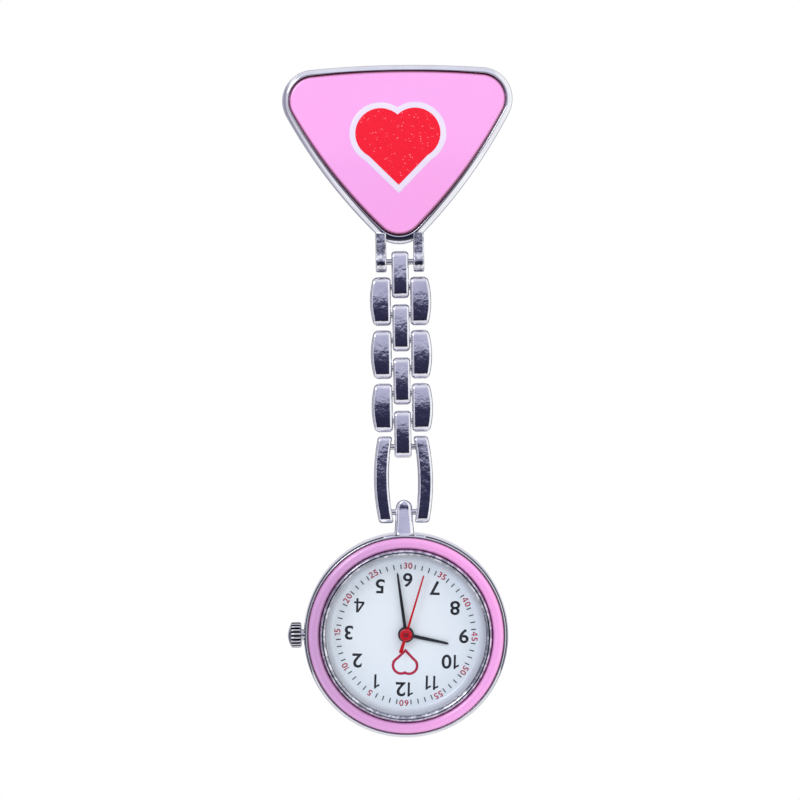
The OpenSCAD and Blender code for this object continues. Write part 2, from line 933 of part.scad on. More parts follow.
module train_bridge() {
    color(steel)
    facing(watch_z)
        difference() {
            translate([0, 0, bridge_w0])
                cylinder(h = bridge_w1 - bridge_w0, r = 9.6, $fn = 96);
            translate([0, battery_d, bridge_w0 - 1])
                cylinder(h = 3, r = battery_r + 0.15);
            translate([-10, -1.3, bridge_w0 - 1])
                cube([7.4, 2.6, 3]);
            translate([0, 0, bridge_w0 - 1])
                board_shape(0.12, 3);
            for (p = [[0, 0], [third_x, third_y], [train_d, 0], [rotor_x, rotor_y]])
                translate([p[0], p[1], bridge_w0 - 1])
                    cylinder(h = 3, r = pivot_r);
            for (p = posts)
                translate([p[0], p[1], bridge_w0 - 1])
                    cylinder(h = 3, r = 0.32);
        }
}

// a quarter ring in the lower left of the movement
module board_shape(grow, h) {
    difference() {
        intersection() {
            cylinder(h = h, r = 9.5 + 3 * grow, $fn = 96);
            rotate(182)
                translate([0, 1.3 - grow, 0])
                    cube([12, 12, h]);
            rotate(262)
                translate([0, -12, 0])
                    cube([12, 12 + grow, h]);
        }
        translate([0, 0, -1])
            cylinder(h = h + 2, r = 5.75 - grow, $fn = 96);
    }
}

module circuit_board() {
    color([0.1, 0.42, 0.28])
    facing(watch_z)
        translate([0, 0, bridge_w0])
            board_shape(0, 0.2);
}

module ic_chip() {
    color(black)
    facing(watch_z)
        rotate(248)
            translate([6.4, -0.8, bridge_w0 + 0.21])
                cube([1.6, 1.6, 0.4]);
}

module quartz() {
    color([0.8, 0.8, 0.8])
    facing(watch_z)
        rotate(215)
            translate([7.6, -2.4, -2.05])
                rotate([-90, 0, 0])
                    cylinder(h = 4.8, r = 0.62);
}

module stator() {
    color(dark_steel)
    facing(watch_z)
        difference() {
            translate([0, 0, stator_w0])
                linear_extrude(height = stator_w1 - stator_w0) {
                    translate([rotor_x, rotor_y])
                        circle(r = 1.3);
                    translate([rotor_x + 0.1, coil_y0 - 0.6])
                        square([0.7, coil_y1 - coil_y0 + 1.2]);
                    for (y = [coil_y0 - 0.6, coil_y1])
                        translate([rotor_x + 0.1, y])
                            square([coil_x - rotor_x + 0.6, 0.6]);
                }
            translate([rotor_x, rotor_y, -3])
                cylinder(h = 3, r = 0.8);
        }
}

module coil() {
    color([0.75, 0.38, 0.16])
    facing(watch_z)
        translate([coil_x, coil_y0, (plate_w0 + bridge_w1) / 2])
            rotate([-90, 0, 0])
                cylinder(h = coil_y1 - coil_y0, r = coil_r);
}

module battery() {
    color(steel)
    facing(watch_z)
        translate([0, battery_d, -3.1]) {
            cylinder(h = 0.5, r = battery_r - 0.5);
            translate([0, 0, 0.3])
                cylinder(h = battery_h - 0.3, r = battery_r, $fn = 72);
        }
}

module battery_clamp() {
    color(brass)
    facing(watch_z)
        difference() {
            union() {
                translate([-5.4, 4.6, -3.25])
                    cube([9.6, 1.2, 0.12]);
                translate([-5.6, 3.8, -3.25])
                    cube([1.8, 1.8, 0.29]);
            }
            translate([posts[0][0], posts[0][1], -4])
                cylinder(h = 2, r = 0.32);
        }
}

// slotted screws that hold the bridge to the main plate's posts
module bridge_screws() {
    color(dark_steel)
    facing(watch_z)
        for (i = [0 : 3]) {
            // the first screw also holds the battery clamp
            under = i == 0 ? -3.26 : bridge_w0 - 0.01;
            translate([posts[i][0], posts[i][1], 0])
                difference() {
                    union() {
                        translate([0, 0, under - eps])
                            cylinder(h = -1.75 - under, r = 0.3);
                        translate([0, 0, under - 0.18])
                            cylinder(h = 0.18, r = 0.6);
                    }
                    translate([-0.7, -0.08, under - 0.2])
                        cube([1.4, 0.16, 0.1]);
                }
        }
}

// a spur gear with a tooth pointing in the direction aim
module gear(teeth, mod, h, aim) {
    tip = mod * (teeth / 2 + 0.85);
    root = mod * (teeth / 2 - 1.15);
    step = 360 / teeth;
    linear_extrude(height = h)
        polygon([
            for (i = [0 : teeth - 1])
                for (q = [[root, -0.29], [tip, -0.12], [tip, 0.12], [root, 0.29]])
                    let (a = aim + (i + q[1]) * step)
                        [q[0] * cos(a), q[0] * sin(a)]
        ]);
}

// a gear that meets a neighbour whose tooth points at it from the direction aim
module meeting_gear(teeth, mod, h, aim) {
    gear(teeth, mod, h, aim + 180 + 180 / teeth);
}

// a wheel's rim, hub and three arms, cut out of a gear blank
module wheel_windows(rim_r, hub_r) {
    intersection() {
        difference() {
            circle(r = rim_r);
            circle(r = hub_r);
        }
        difference() {
            circle(r = rim_r + 1);
            for (a = [0, 120, 240])
                rotate(a)
                    translate([0, -0.12])
                        square([rim_r + 2, 0.24]);
        }
    }
}

module windowed_gear(teeth, mod, h, aim) {
    difference() {
        gear(teeth, mod, h, aim);
        translate([0, 0, -1])
            linear_extrude(height = h + 2)
                wheel_windows(mod * teeth / 2 - 0.32, 0.62);
    }
}

module centre_wheel() {
    color(brass)
    facing(watch_z)
        difference() {
            union() {
                translate([0, 0, -1.55])
                    windowed_gear(centre_teeth, centre_mod, 0.15, third_dir);
                translate([0, 0, -1.55])
                    cylinder(h = 2.5, r = tube_r);
                translate([0, 0, -0.8])
                    gear(cannon_teeth, cannon_mod, 0.25, minute_wheel_dir);
            }
            translate([0, 0, -3])
                cylinder(h = 6, r = tube_bore_r);
        }
}

module third_wheel() {
    color(brass)
    facing(watch_z)
        translate([third_x, third_y, 0]) {
            translate([0, 0, -2.75])
                cylinder(h = 1.8, r = arbor_r);
            translate([0, 0, -1.88])
                windowed_gear(third_teeth, third_mod, 0.13, third_dir + 180);
            translate([0, 0, -1.6])
                meeting_gear(train_pinion, centre_mod, 0.25, third_dir);
        }
}

module fourth_wheel() {
    color(brass)
    facing(watch_z) {
        translate([0, 0, -2.75])
            cylinder(h = 4.03, r = arbor_r);
        translate([0, 0, -1.94])
            meeting_gear(train_pinion, third_mod, 0.25, third_dir + 180);
        translate([0, 0, -2.14])
            windowed_gear(fourth_teeth, fourth_mod, 0.13, fifth_dir);
    }
}

module fifth_wheel() {
    color(brass)
    facing(watch_z)
        translate([train_d, 0, 0]) {
            translate([0, 0, -2.75])
                cylinder(h = 1.8, r = arbor_r);
            translate([0, 0, -2.2])
                meeting_gear(fifth_pinion, fourth_mod, 0.25, fifth_dir);
            translate([0, 0, -2.45])
                windowed_gear(fifth_teeth, rotor_mod, 0.12, rotor_dir);
        }
}

module rotor() {
    color(dark_steel)
    facing(watch_z)
        translate([rotor_x, rotor_y, 0]) {
            translate([0, 0, -2.75])
                cylinder(h = 1.8, r = 0.1);
            translate([0, 0, -2.5])
                meeting_gear(train_pinion, rotor_mod, 0.22, rotor_dir);
            translate([0, 0, -2.0])
                cylinder(h = 0.5, r = 0.58);
        }
}

module minute_wheel() {
    color(brass)
    facing(watch_z)
        translate([mw_x, mw_y, 0])
            difference() {
                union() {
                    translate([0, 0, -0.76])
                        meeting_gear(minute_wheel_teeth, cannon_mod, 0.14, minute_wheel_dir);
                    translate([0, 0, -0.63])
                        gear(minute_pinion, hour_mod, 0.35, minute_wheel_dir + 180);
                }
                translate([0, 0, -2])
                    cylinder(h = 3, r = 0.19);
            }
}

module hour_wheel() {
    color(brass)
    facing(watch_z)
        difference() {
            union() {
                translate([0, 0, -0.46])
                    meeting_gear(hour_teeth, hour_mod, 0.16, minute_wheel_dir + 180);
                translate([0, 0, -0.46])
                    cylinder(h = 1.08, r = pipe_r);
            }
            translate([0, 0, -2])
                cylinder(h = 4, r = pipe_bore_r);
        }
}

// a thin straight hand that points along y
module blade(len, w_root, w_tip, tail) {
    polygon([
        [-w_root / 2, -tail],
        [w_root / 2, -tail],
        [w_root / 2, len * 0.5],
        [w_tip / 2, len],
        [-w_tip / 2, len],
        [-w_root / 2, len * 0.5]
    ]);
}

module hour_hand() {
    color(black)
    facing(watch_z)
        rotate(-hour_at)
            translate([0, 0, 0.44])
                linear_extrude(height = 0.15)
                    difference() {
                        union() {
                            blade(hour_l, 0.45, 0.32, 0);
                            circle(r = 1.1);
                        }
                        circle(r = pipe_r + 0.01);
                    }
}

module minute_hand() {
    color(black)
    facing(watch_z)
        rotate(-minute_at)
            translate([0, 0, 0.78])
                linear_extrude(height = 0.15)
                    difference() {
                        union() {
                            blade(minute_l, 0.42, 0.26, 0);
                            circle(r = 1.04);
                        }
                        circle(r = tube_r + 0.01);
                    }
}

module second_hand() {
    color(red)
    facing(watch_z)
        rotate(-second_at)
            difference() {
                union() {
                    translate([0, 0, 1.12])
                        linear_extrude(height = 0.1)
                            polygon([
                                [-0.24, -second_tail],
                                [0.24, -second_tail],
                                [0.12, 0],
                                [0.06, second_l],
                                [-0.06, second_l],
                                [-0.12, 0]
                            ]);
                    translate([0, 0, 1.12])
                        cylinder(h = 0.38, r = 0.85);
                }
                translate([0, 0, 0.5])
                    cylinder(h = 0.8, r = arbor_r + 0.01);
            }
}

// ---- the crown ----

module clutch_wheel() {
    color(steel)
    facing(watch_z)
        translate([square_x + 0.2, 0, stem_w])
            rotate([0, 90, 0])
                difference() {
                    gear(12, 0.09, 1.3, 0);
                    translate([-square_w / 2 - 0.03, -square_w / 2 - 0.03, -1])
                        cube([square_w + 0.06, square_w + 0.06, 4]);
                }
}

module stem() {
    color(dark_steel)
    facing(watch_z)
        translate([0, 0, stem_w]) {
            rod_x(crown_x0 - 1.2, square_x, stem_r - 0.05);
            translate([square_x - eps, -square_w / 2, -square_w / 2])
                cube([stem_end_x - square_x, square_w, square_w]);
        }
}

module crown() {
    band_end = crown_x0 - crown_band;
    dome_sphere = (crown_r * crown_r + crown_dome * crown_dome) / (2 * crown_dome);
    color(steel)
    facing(watch_z)
        translate([0, 0, stem_w])
            difference() {
                union() {
                    rod_x(band_end, crown_x0, crown_r);
                    intersection() {
                        rod_x(band_end - crown_dome, band_end + eps, crown_r);
                        translate([band_end - crown_dome + dome_sphere, 0, 0])
                            sphere(r = dome_sphere, $fn = 72);
                    }
                }
                for (i = [0 : crown_flutes - 1])
                    rotate([i * 360 / crown_flutes, 0, 0])
                        translate([0, crown_r + 0.08, 0])
                            rod_x(band_end + 0.15, crown_x0 + 1, 0.2);
                rod_x(crown_x0 - 0.3, crown_x0 + 1, 0.85);
                rod_x(crown_x0 - 1.21, crown_x0, stem_r - 0.04);
            }
}

brooch_frame();
brooch_insert();
emblem_plate();
emblem_heart();
pin_base();
hinge_rivet();
catch_ring();
clevis_pin();
pin_stem();
catch_lock();
centre_link_1();
centre_link_2();
centre_link_3();
centre_link_4();
outer_link_1_left();
outer_link_1_right();
outer_link_2_left();
outer_link_2_right();
outer_link_3_left();
outer_link_3_right();
link_pins_1();
link_pins_2();
link_pins_3();
end_link_left();
end_link_right();
end_link_pins();
case();
bezel_inlay();
crystal_bezel();
crystal();
crystal_gasket();
dial_flange();
dial();
caseback();
caseback_gasket();
crown_tube();
movement_holder();
main_plate();
train_bridge();
circuit_board();
ic_chip();
quartz();
stator();
coil();
battery();
battery_clamp();
bridge_screws();
centre_wheel();
third_wheel();
fourth_wheel();
fifth_wheel();
rotor();
minute_wheel();
hour_wheel();
hour_hand();
minute_hand();
second_hand();
clutch_wheel();
stem();
crown();
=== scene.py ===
import json
import math

import bmesh
import bpy
from mathutils import Matrix, Vector


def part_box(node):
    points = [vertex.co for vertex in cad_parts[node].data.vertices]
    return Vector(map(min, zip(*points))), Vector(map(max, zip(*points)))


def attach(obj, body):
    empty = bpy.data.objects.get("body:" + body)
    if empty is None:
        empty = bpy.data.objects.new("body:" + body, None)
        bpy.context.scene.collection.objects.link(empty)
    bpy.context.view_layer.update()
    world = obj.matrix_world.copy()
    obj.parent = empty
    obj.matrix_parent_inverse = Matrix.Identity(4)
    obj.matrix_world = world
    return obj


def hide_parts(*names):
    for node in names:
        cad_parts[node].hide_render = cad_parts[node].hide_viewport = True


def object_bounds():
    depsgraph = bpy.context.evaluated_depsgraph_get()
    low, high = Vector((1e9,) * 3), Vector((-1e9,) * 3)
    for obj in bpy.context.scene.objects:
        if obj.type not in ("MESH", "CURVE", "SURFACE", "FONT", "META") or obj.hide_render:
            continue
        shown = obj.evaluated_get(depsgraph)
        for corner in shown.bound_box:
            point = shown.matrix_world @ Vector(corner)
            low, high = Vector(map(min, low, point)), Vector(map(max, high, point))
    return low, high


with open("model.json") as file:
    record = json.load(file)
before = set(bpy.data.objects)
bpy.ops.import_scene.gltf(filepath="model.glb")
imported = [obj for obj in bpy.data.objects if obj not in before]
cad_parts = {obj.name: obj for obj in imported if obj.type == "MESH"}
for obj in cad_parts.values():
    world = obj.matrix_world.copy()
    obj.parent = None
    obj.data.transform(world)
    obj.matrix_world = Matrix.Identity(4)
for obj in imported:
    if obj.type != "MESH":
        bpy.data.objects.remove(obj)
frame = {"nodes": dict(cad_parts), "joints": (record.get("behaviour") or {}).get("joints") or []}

# Lengths are in mm in the shapes below, and every mesh is written in metres.
# A flat shape has x to the right and z up, and w is its height above the
# middle plane of the watch and chain, towards the front.
MM = 0.001
CAD_LOW, CAD_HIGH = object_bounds()
JOINTS = {j["name"]: j for j in frame["joints"]}
CHAIN = ["brooch_hinge"] + [f"chain_hinge_{i}" for i in range(1, 8)] + ["bow_hinge"]
PIN_Z = [JOINTS[name]["pos_m"][2] / MM for name in CHAIN]
MID_Y = JOINTS["brooch_hinge"]["pos_m"][1] / MM
WATCH_Z = JOINTS["minute_turn"]["pos_m"][2] / MM

# the brooch's outline, dome and heart, in the sizes of part.scad
CORNER = Vector((11.5, 6.55))
TIP_Z = 8.55
CORNER_R, TOP_R, SIDE_R = 3.4, 143.0, 70.0
RIM_W, TIP_DROP = 0.9, 0.35
DOME_TOP, DOME_R = 2.1, 110.0
HEART_W, HEART_BORDER = 13.3, 0.8
HEART_SIDE = (HEART_W - 2 * HEART_BORDER) / (1.04 + math.sqrt(0.5))

# the pink ring's middle radius and half width
RING_MID_R, RING_HALF_W = 12.61, 0.81


def to_world(x, z, w, origin_z):
    """A flat point at height w in world space, where origin_z is the shape's own zero."""
    return (x * MM, (MID_Y - w) * MM, (origin_z + z) * MM)


def around(n):
    """The angles of n even steps round a circle."""
    return [2 * math.pi * i / n for i in range(n)]


# ---- meshes ----


def finish_mesh(name, verts, faces, look, body, nodes=(), sharp=38):
    """A shaded object from its corners and faces, riding on a body."""
    mesh = bpy.data.meshes.new(name)
    mesh.from_pydata(verts, [], faces)
    bm = bmesh.new()
    bm.from_mesh(mesh)
    bmesh.ops.remove_doubles(bm, verts=bm.verts, dist=1e-8)
    bmesh.ops.recalc_face_normals(bm, faces=bm.faces)
    bm.to_mesh(mesh)
    bm.free()
    mesh.shade_smooth()
    mesh.set_sharp_from_angle(angle=math.radians(sharp))
    mesh.materials.append(look)
    piece = bpy.data.objects.new(name, mesh)
    bpy.context.scene.collection.objects.link(piece)
    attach(piece, body)
    if nodes:
        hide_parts(*nodes)
    return piece


def paint_marks(piece, verts, shade_marks):
    """Stores how deep each corner lies in painted shade at an edge or groove, from 0 to 1."""
    lookup = {tuple(round(c, 7) for c in v): m for v, m in zip(verts, shade_marks)}
    edge = piece.data.attributes.new("edge", "FLOAT", "POINT")
    for v in piece.data.vertices:
        edge.data[v.index].value = lookup.get(tuple(round(c, 7) for c in v.co), 0.0)


def add_rings(verts, faces, rings, loop=False, caps=(True, True)):
    """Joins rings of equal length into a tube, whose ends may be capped."""
    first = len(verts)
    n = len(rings[0])
    for ring in rings:
        verts.extend(ring)
    count = len(rings)
    for i in range(count if loop else count - 1):
        a, b = first + i * n, first + ((i + 1) % count) * n
        for j in range(n):
            k = (j + 1) % n
            faces.append((a + j, a + k, b + k, b + j))
    if not loop and caps[0]:
        faces.append(tuple(range(first, first + n)))
    if not loop and caps[1]:
        last = first + (count - 1) * n
        faces.append(tuple(reversed(range(last, last + n))))


def filleted(points, radius, steps=4, closed=True):
    """The polyline with each corner rounded off, by its own third number if it has one.

    A corner takes a little under half of each side at most, so that two don't meet.
    """
    out = []
    n = len(points)
    for i, p in enumerate(points):
        here = Vector(p[:2])
        r = p[2] if len(p) > 2 else radius
        if not closed and i in (0, n - 1):
            out.append(here)
            continue
        before, after = Vector(points[i - 1][:2]), Vector(points[(i + 1) % n][:2])
        reach = min(r, (here - before).length * 0.48, (after - here).length * 0.48)
        if reach < 1e-4:
            out.append(here)
            continue
        a = here + (before - here).normalized() * reach
        b = here + (after - here).normalized() * reach
        for s in range(steps + 1):
            t = s / steps
            out.append(a * (1 - t) ** 2 + here * 2 * t * (1 - t) + b * t * t)
    return out


def lathe(name, profile, look, body, nodes=(), r=0.1, n=200, closed=True):
    """Turns a profile of (radius, w) corners around the watch's axis."""
    verts, faces = [], []
    rings = [
        [to_world(radius * math.cos(a), radius * math.sin(a), w, WATCH_Z) for a in around(n)]
        for radius, w in filleted(profile, r, closed=closed)
    ]
    add_rings(verts, faces, rings, loop=closed)
    return finish_mesh(name, verts, faces, look, body, nodes)


def rounded_slice(x0, x1, half_y, r, z, steps=5):
    """A level rounded rectangle, as a ring of world points. Some of each side stays straight."""
    r = min(r, (x1 - x0) * 0.49, half_y * 0.98)
    ring = []
    corners = [
        (x1 - r, half_y - r, 0), (x0 + r, half_y - r, 90),
        (x0 + r, -half_y + r, 180), (x1 - r, -half_y + r, 270),
    ]
    for cx, cy, start in corners:
        for s in range(steps + 1):
            a = math.radians(start + 90 * s / steps)
            ring.append((
                (cx + r * math.cos(a)) * MM,
                (MID_Y + cy + r * math.sin(a)) * MM, z * MM))
    return ring


def bar_slices(z_low, z_high, x0, x1, half_y, edge, corner, end_r, end=(True, True), middle=14):
    """Slices up a bar. x0, x1 and half_y are functions of z, and end says which ends are round."""
    turn = 9
    rises = [end_r * (1 - math.cos(math.pi / 2 * i / turn)) for i in range(turn)]
    start = z_low + end_r if end[0] else z_low
    stop = z_high - end_r if end[1] else z_high
    heights = [z_low + rise for rise in rises] if end[0] else []
    heights += [start + (stop - start) * i / middle for i in range(middle + 1)]
    if end[1]:
        heights += [z_high - rise for rise in reversed(rises)]
    rings = []
    for z in heights:
        gaps = [z - z_low if end[0] else math.inf, z_high - z if end[1] else math.inf]
        e = max(min(gaps), 0.0)
        pull = corner - math.sqrt(corner ** 2 - (corner - e) ** 2) if e < corner else 0.0
        thin = end_r - math.sqrt(end_r ** 2 - (end_r - e) ** 2) if e < end_r else 0.0
        rings.append(rounded_slice(x0(z) + pull, x1(z) - pull, half_y(z) - thin, edge, z))
    return rings


# ---- materials ----


class Nodes:
    """A node tree to fill."""

    def __init__(self, tree):
        self.tree = tree
        tree.nodes.clear()

    def node(self, kind, **values):
        made = self.tree.nodes.new("ShaderNode" + kind)
        for key, value in values.items():
            setattr(made, key, value)
        return made

    def set(self, node, name, value):
        node.inputs[name].default_value = value

    def link(self, a, b):
        self.tree.links.new(a, b)

    def range(self, value, from_low=0.3, from_high=0.7, to_low=0, to_high=1):
        """The value moved to another span. Noise lies mostly between 0.3 and 0.7."""
        made = self.node("MapRange")
        for key, number in (
            ("From Min", from_low), ("From Max", from_high),
            ("To Min", to_low), ("To Max", to_high),
        ):
            self.set(made, key, number)
        self.link(value, made.inputs["Value"])
        return made.outputs["Result"]

    def mix(self, factor, a, b):
        """Colour a where the factor is 0 and b where it is 1."""
        made = self.node("Mix", data_type="RGBA")
        # sockets 6 and 7 are its two colours, and output 2 is their mix
        self.link(factor, made.inputs["Factor"])
        for socket, value in ((made.inputs[6], a), (made.inputs[7], b)):
            if isinstance(value, tuple):
                socket.default_value = (*value, 1)
            else:
                self.link(value, socket)
        return made.outputs[2]


class Look(Nodes):
    """A node material built around one Principled shader."""

    def __init__(self, name, colour, roughness, metallic=0.0, coat=0.0, ior=1.5):
        self.material = bpy.data.materials.new(name)
        self.material.use_nodes = True
        super().__init__(self.material.node_tree)
        self.out = self.node("OutputMaterial")
        self.shader = self.node("BsdfPrincipled")
        self.link(self.shader.outputs[0], self.out.inputs["Surface"])
        self.set(self.shader, "Base Color", (*colour, 1))
        self.set(self.shader, "Roughness", roughness)
        self.set(self.shader, "Metallic", metallic)
        self.set(self.shader, "Coat Weight", coat)
        self.set(self.shader, "Coat Roughness", 0.03)
        self.set(self.shader, "IOR", ior)
        coords = self.node("TexCoord")
        scaled = self.node("Mapping")
        self.set(scaled, "Scale", (1 / MM, 1 / MM, 1 / MM))
        self.link(coords.outputs["Object"], scaled.inputs["Vector"])
        self.mm = scaled.outputs["Vector"]

    def noise(self, scale, detail=3.0, rough=0.55, stretch=None):
        where = self.mm
        if stretch:
            more = self.node("Mapping")
            self.set(more, "Scale", stretch)
            self.link(where, more.inputs["Vector"])
            where = more.outputs["Vector"]
        made = self.node("TexNoise")
        self.set(made, "Scale", scale)
        self.set(made, "Detail", detail)
        self.set(made, "Roughness", rough)
        self.link(where, made.inputs["Vector"])
        return made.outputs["Fac"]

    def colour(self, socket):
        self.link(socket, self.shader.inputs["Base Color"])

    def vary_roughness(self, field, low, high):
        self.link(self.range(field, to_low=low, to_high=high), self.shader.inputs["Roughness"])

    def bump(self, field, height_mm):
        made = self.node("Bump")
        self.set(made, "Strength", 1.0)
        self.set(made, "Distance", height_mm * MM)
        self.link(field, made.inputs["Height"])
        self.link(made.outputs["Normal"], self.shader.inputs["Normal"])

    def radius(self):
        """The distance in mm from the watch's axis."""
        shift = self.node("VectorMath", operation="SUBTRACT")
        self.link(self.mm, shift.inputs[0])
        shift.inputs[1].default_value = (0, 0, WATCH_Z)
        flat = self.node("VectorMath", operation="MULTIPLY")
        self.link(shift.outputs[0], flat.inputs[0])
        flat.inputs[1].default_value = (1, 0, 1)
        length = self.node("VectorMath", operation="LENGTH")
        self.link(flat.outputs[0], length.inputs[0])
        return length.outputs["Value"]


def metal(name, light, dark, low, high, bump_mm=0.001, bump_scale=2.5, stretch=None):
    """Metal with faint tarnish, uneven polish and shallow scratches."""
    look = Look(name, light, low, metallic=1.0)
    patches = look.noise(0.35, 4)
    look.colour(look.mix(look.range(patches, 0.35, 0.75), light, dark))
    look.vary_roughness(look.noise(1.4, 5, 0.6), low, high)
    look.bump(look.noise(bump_scale, 4, 0.6, stretch), bump_mm)
    return look.material


def plastic(name, light, dark, rough, coat=0.0, grain=6.0, bump_mm=0.002):
    """Moulded or painted surface with a faint grain."""
    look = Look(name, light, rough, coat=coat)
    look.colour(look.mix(look.range(look.noise(0.2, 3)), light, dark))
    look.vary_roughness(look.noise(grain * 0.5, 3), rough * 0.85, rough * 1.2)
    look.bump(look.noise(grain, 3), bump_mm)
    return look.material


def speckled(name, bright, dark, from_low, from_high, scale, bump_mm):
    """Worn chrome on a rough casting, with dark pits between bright spots."""
    look = Look(name, bright, 0.12, metallic=1.0)
    pits = look.noise(scale, 4, 0.65)
    look.colour(look.mix(look.range(pits, from_low, from_high), dark, bright))
    look.vary_roughness(look.noise(1.4, 4), 0.08, 0.24)
    look.bump(look.noise(scale * 0.8, 3, 0.5), bump_mm)
    return look.material


# Speckled: bright and dark colour, the noise span between them, its scale and its height.
# Metal: light and dark colour, roughness from and to, height and scale of its scratches.
# Plastic: light and dark colour, roughness, coat, grain and its height.
BEZEL = speckled("bezel_chrome", (0.86, 0.87, 0.91), (0.34, 0.35, 0.40), 0.44, 0.64, 1.3, 0.02)
CAST_CHROME = speckled(
    "cast_chrome", (0.90, 0.90, 0.94), (0.34, 0.34, 0.40), 0.40, 0.58, 1.5, 0.045)
CHROME = metal("chrome", (0.86, 0.87, 0.91), (0.74, 0.74, 0.80), 0.035, 0.10, 0.0012, 1.6)
LINK_CHROME = metal("link_chrome", (0.88, 0.88, 0.93), (0.70, 0.70, 0.77), 0.04, 0.13, 0.05, 0.75)
PIN_STEEL = metal(
    "pin_steel", (0.70, 0.71, 0.73), (0.50, 0.50, 0.53), 0.14, 0.28, 0.002, 4, (0.2, 5, 5))
BRASS = metal("movement_brass", (0.80, 0.64, 0.34), (0.66, 0.50, 0.25), 0.16, 0.3, 0.002, 6)
MOVEMENT_STEEL = metal(
    "movement_steel", (0.62, 0.63, 0.66), (0.48, 0.49, 0.52), 0.18, 0.32, 0.002, 5, (0.3, 1, 6))
BATTERY_STEEL = metal("battery_steel", (0.76, 0.77, 0.79), (0.66, 0.67, 0.70), 0.2, 0.34, 0.001, 8)
COPPER = metal("coil_copper", (0.75, 0.36, 0.16), (0.60, 0.26, 0.10), 0.2, 0.4, 0.02, 9, (1, 1, 6))
RUBBER = plastic("gasket_rubber", (0.04, 0.04, 0.045), (0.06, 0.06, 0.065), 0.7)
HOLDER = plastic("holder_plastic", (0.82, 0.82, 0.79), (0.75, 0.75, 0.72), 0.45)
CHIP = plastic("chip_black", (0.02, 0.02, 0.022), (0.04, 0.04, 0.042), 0.5)
WHITE_PRINT = plastic("white_print", (0.86, 0.80, 0.93), (0.80, 0.72, 0.90), 0.32, 0.6, 4.0, 0.004)
HAND_BLACK = plastic("hand_black", (0.012, 0.014, 0.02), (0.02, 0.022, 0.03), 0.28, 0.3)
HAND_RED = plastic("hand_red", (0.62, 0.0, 0.012), (0.50, 0.0, 0.01), 0.25, 0.5)
INK_BLACK = plastic("ink_black", (0.008, 0.010, 0.018), (0.014, 0.018, 0.03), 0.4)
INK_RED = plastic("ink_red", (0.56, 0.012, 0.07), (0.46, 0.010, 0.06), 0.4)
TICK_INK = plastic("tick_ink", (0.02, 0.025, 0.04), (0.03, 0.04, 0.06), 0.45)
FLOOR_PAINT = plastic("floor_paint", (0.86, 0.86, 0.87), (0.83, 0.83, 0.84), 0.6, 0, 0.05, 0.02)


def brushed_back():
    """Steel turned on a lathe, with fine rings around the watch's axis."""
    look = Look("caseback_steel", (0.66, 0.67, 0.70), 0.22, metallic=1.0)
    rings = look.node("TexNoise", noise_dimensions="1D")
    look.set(rings, "Scale", 3.2)
    look.set(rings, "Detail", 5.0)
    look.set(rings, "Roughness", 0.7)
    look.link(look.radius(), rings.inputs["W"])
    look.colour(look.mix(look.range(rings.outputs["Fac"], 0.35, 0.65),
                         (0.80, 0.81, 0.84), (0.52, 0.53, 0.57)))
    look.vary_roughness(look.noise(1.2, 5), 0.16, 0.30)
    look.bump(rings.outputs["Fac"], 0.03)
    return look.material


def pink(name, ring=False):
    """Glossy lacquer, with painted shade where it meets the metal around it.

    On the ring that place comes from the radius, and elsewhere from the painted shade marks. The
    ring also has painted shade towards its left.
    """
    rose, lilac = (0.98, 0.41, 0.84), (0.95, 0.42, 0.86)
    look = Look(name, rose, 0.22, coat=0.8)
    look.set(look.shader, "Subsurface Weight", 0.08)
    look.set(look.shader, "Subsurface Radius", (0.0006, 0.0003, 0.0005))
    base = look.mix(look.range(look.noise(0.06, 2), 0.35, 0.65), rose, lilac)
    if ring:
        along = look.node("SeparateXYZ")
        look.link(look.mm, along.inputs[0])
        # painted shade: the ring is darker towards its left, where less light falls
        base = look.mix(look.range(along.outputs["X"], -14, 8), (0.60, 0.34, 0.62), base)
        spread = look.node("Math", operation="SUBTRACT")
        look.link(look.radius(), spread.inputs[0])
        spread.inputs[1].default_value = RING_MID_R
        size = look.node("Math", operation="ABSOLUTE")
        look.link(spread.outputs[0], size.inputs[0])
        edge = look.range(size.outputs[0], RING_HALF_W - 0.22, RING_HALF_W - 0.02)
    else:
        edge = look.node("Attribute", attribute_name="edge").outputs["Fac"]
    # painted shade: dark crimson in the seam where the lacquer meets the metal
    look.colour(look.mix(edge, base, (0.20, 0.015, 0.07)))
    look.vary_roughness(look.noise(0.8, 4), 0.16, 0.26)
    look.bump(look.noise(1.1, 3), 0.002)
    return look.material


def glitter_red():
    """Red print with glitter, whose pale specks are painted in as glints of light."""
    look = Look("red_print", (0.92, 0.008, 0.03), 0.35, ior=1.3)
    dots = look.node("TexVoronoi")
    look.set(dots, "Scale", 3.2)
    look.link(look.mm, dots.inputs["Vector"])
    near = look.range(dots.outputs["Distance"], 0.05, 0.26, 1, 0)
    rare = look.range(look.noise(1.3, 2), 0.53, 0.57)
    both = look.node("Math", operation="MULTIPLY")
    look.link(near, both.inputs[0])
    look.link(rare, both.inputs[1])
    shade = look.mix(look.range(look.noise(3.0, 3)),
                     (0.94, 0.008, 0.030), (0.84, 0.006, 0.030))
    # painted glints: pale specks in the colour where glitter flakes catch the light
    look.colour(look.mix(both.outputs[0], shade, (1.0, 0.55, 0.60)))
    look.bump(look.noise(5.0, 2), 0.006)
    return look.material


def dial_paint():
    """Cool white paint, a little uneven."""
    look = Look("dial_white", (0.80, 0.88, 0.98), 0.42)
    tint = look.range(look.noise(0.035, 1), 0.35, 0.65)
    look.colour(look.mix(tint, (0.85, 0.94, 1.0), (0.79, 0.90, 1.0)))
    look.vary_roughness(look.noise(6.0, 2), 0.36, 0.5)
    look.bump(look.noise(9.0, 2), 0.0015)
    return look.material


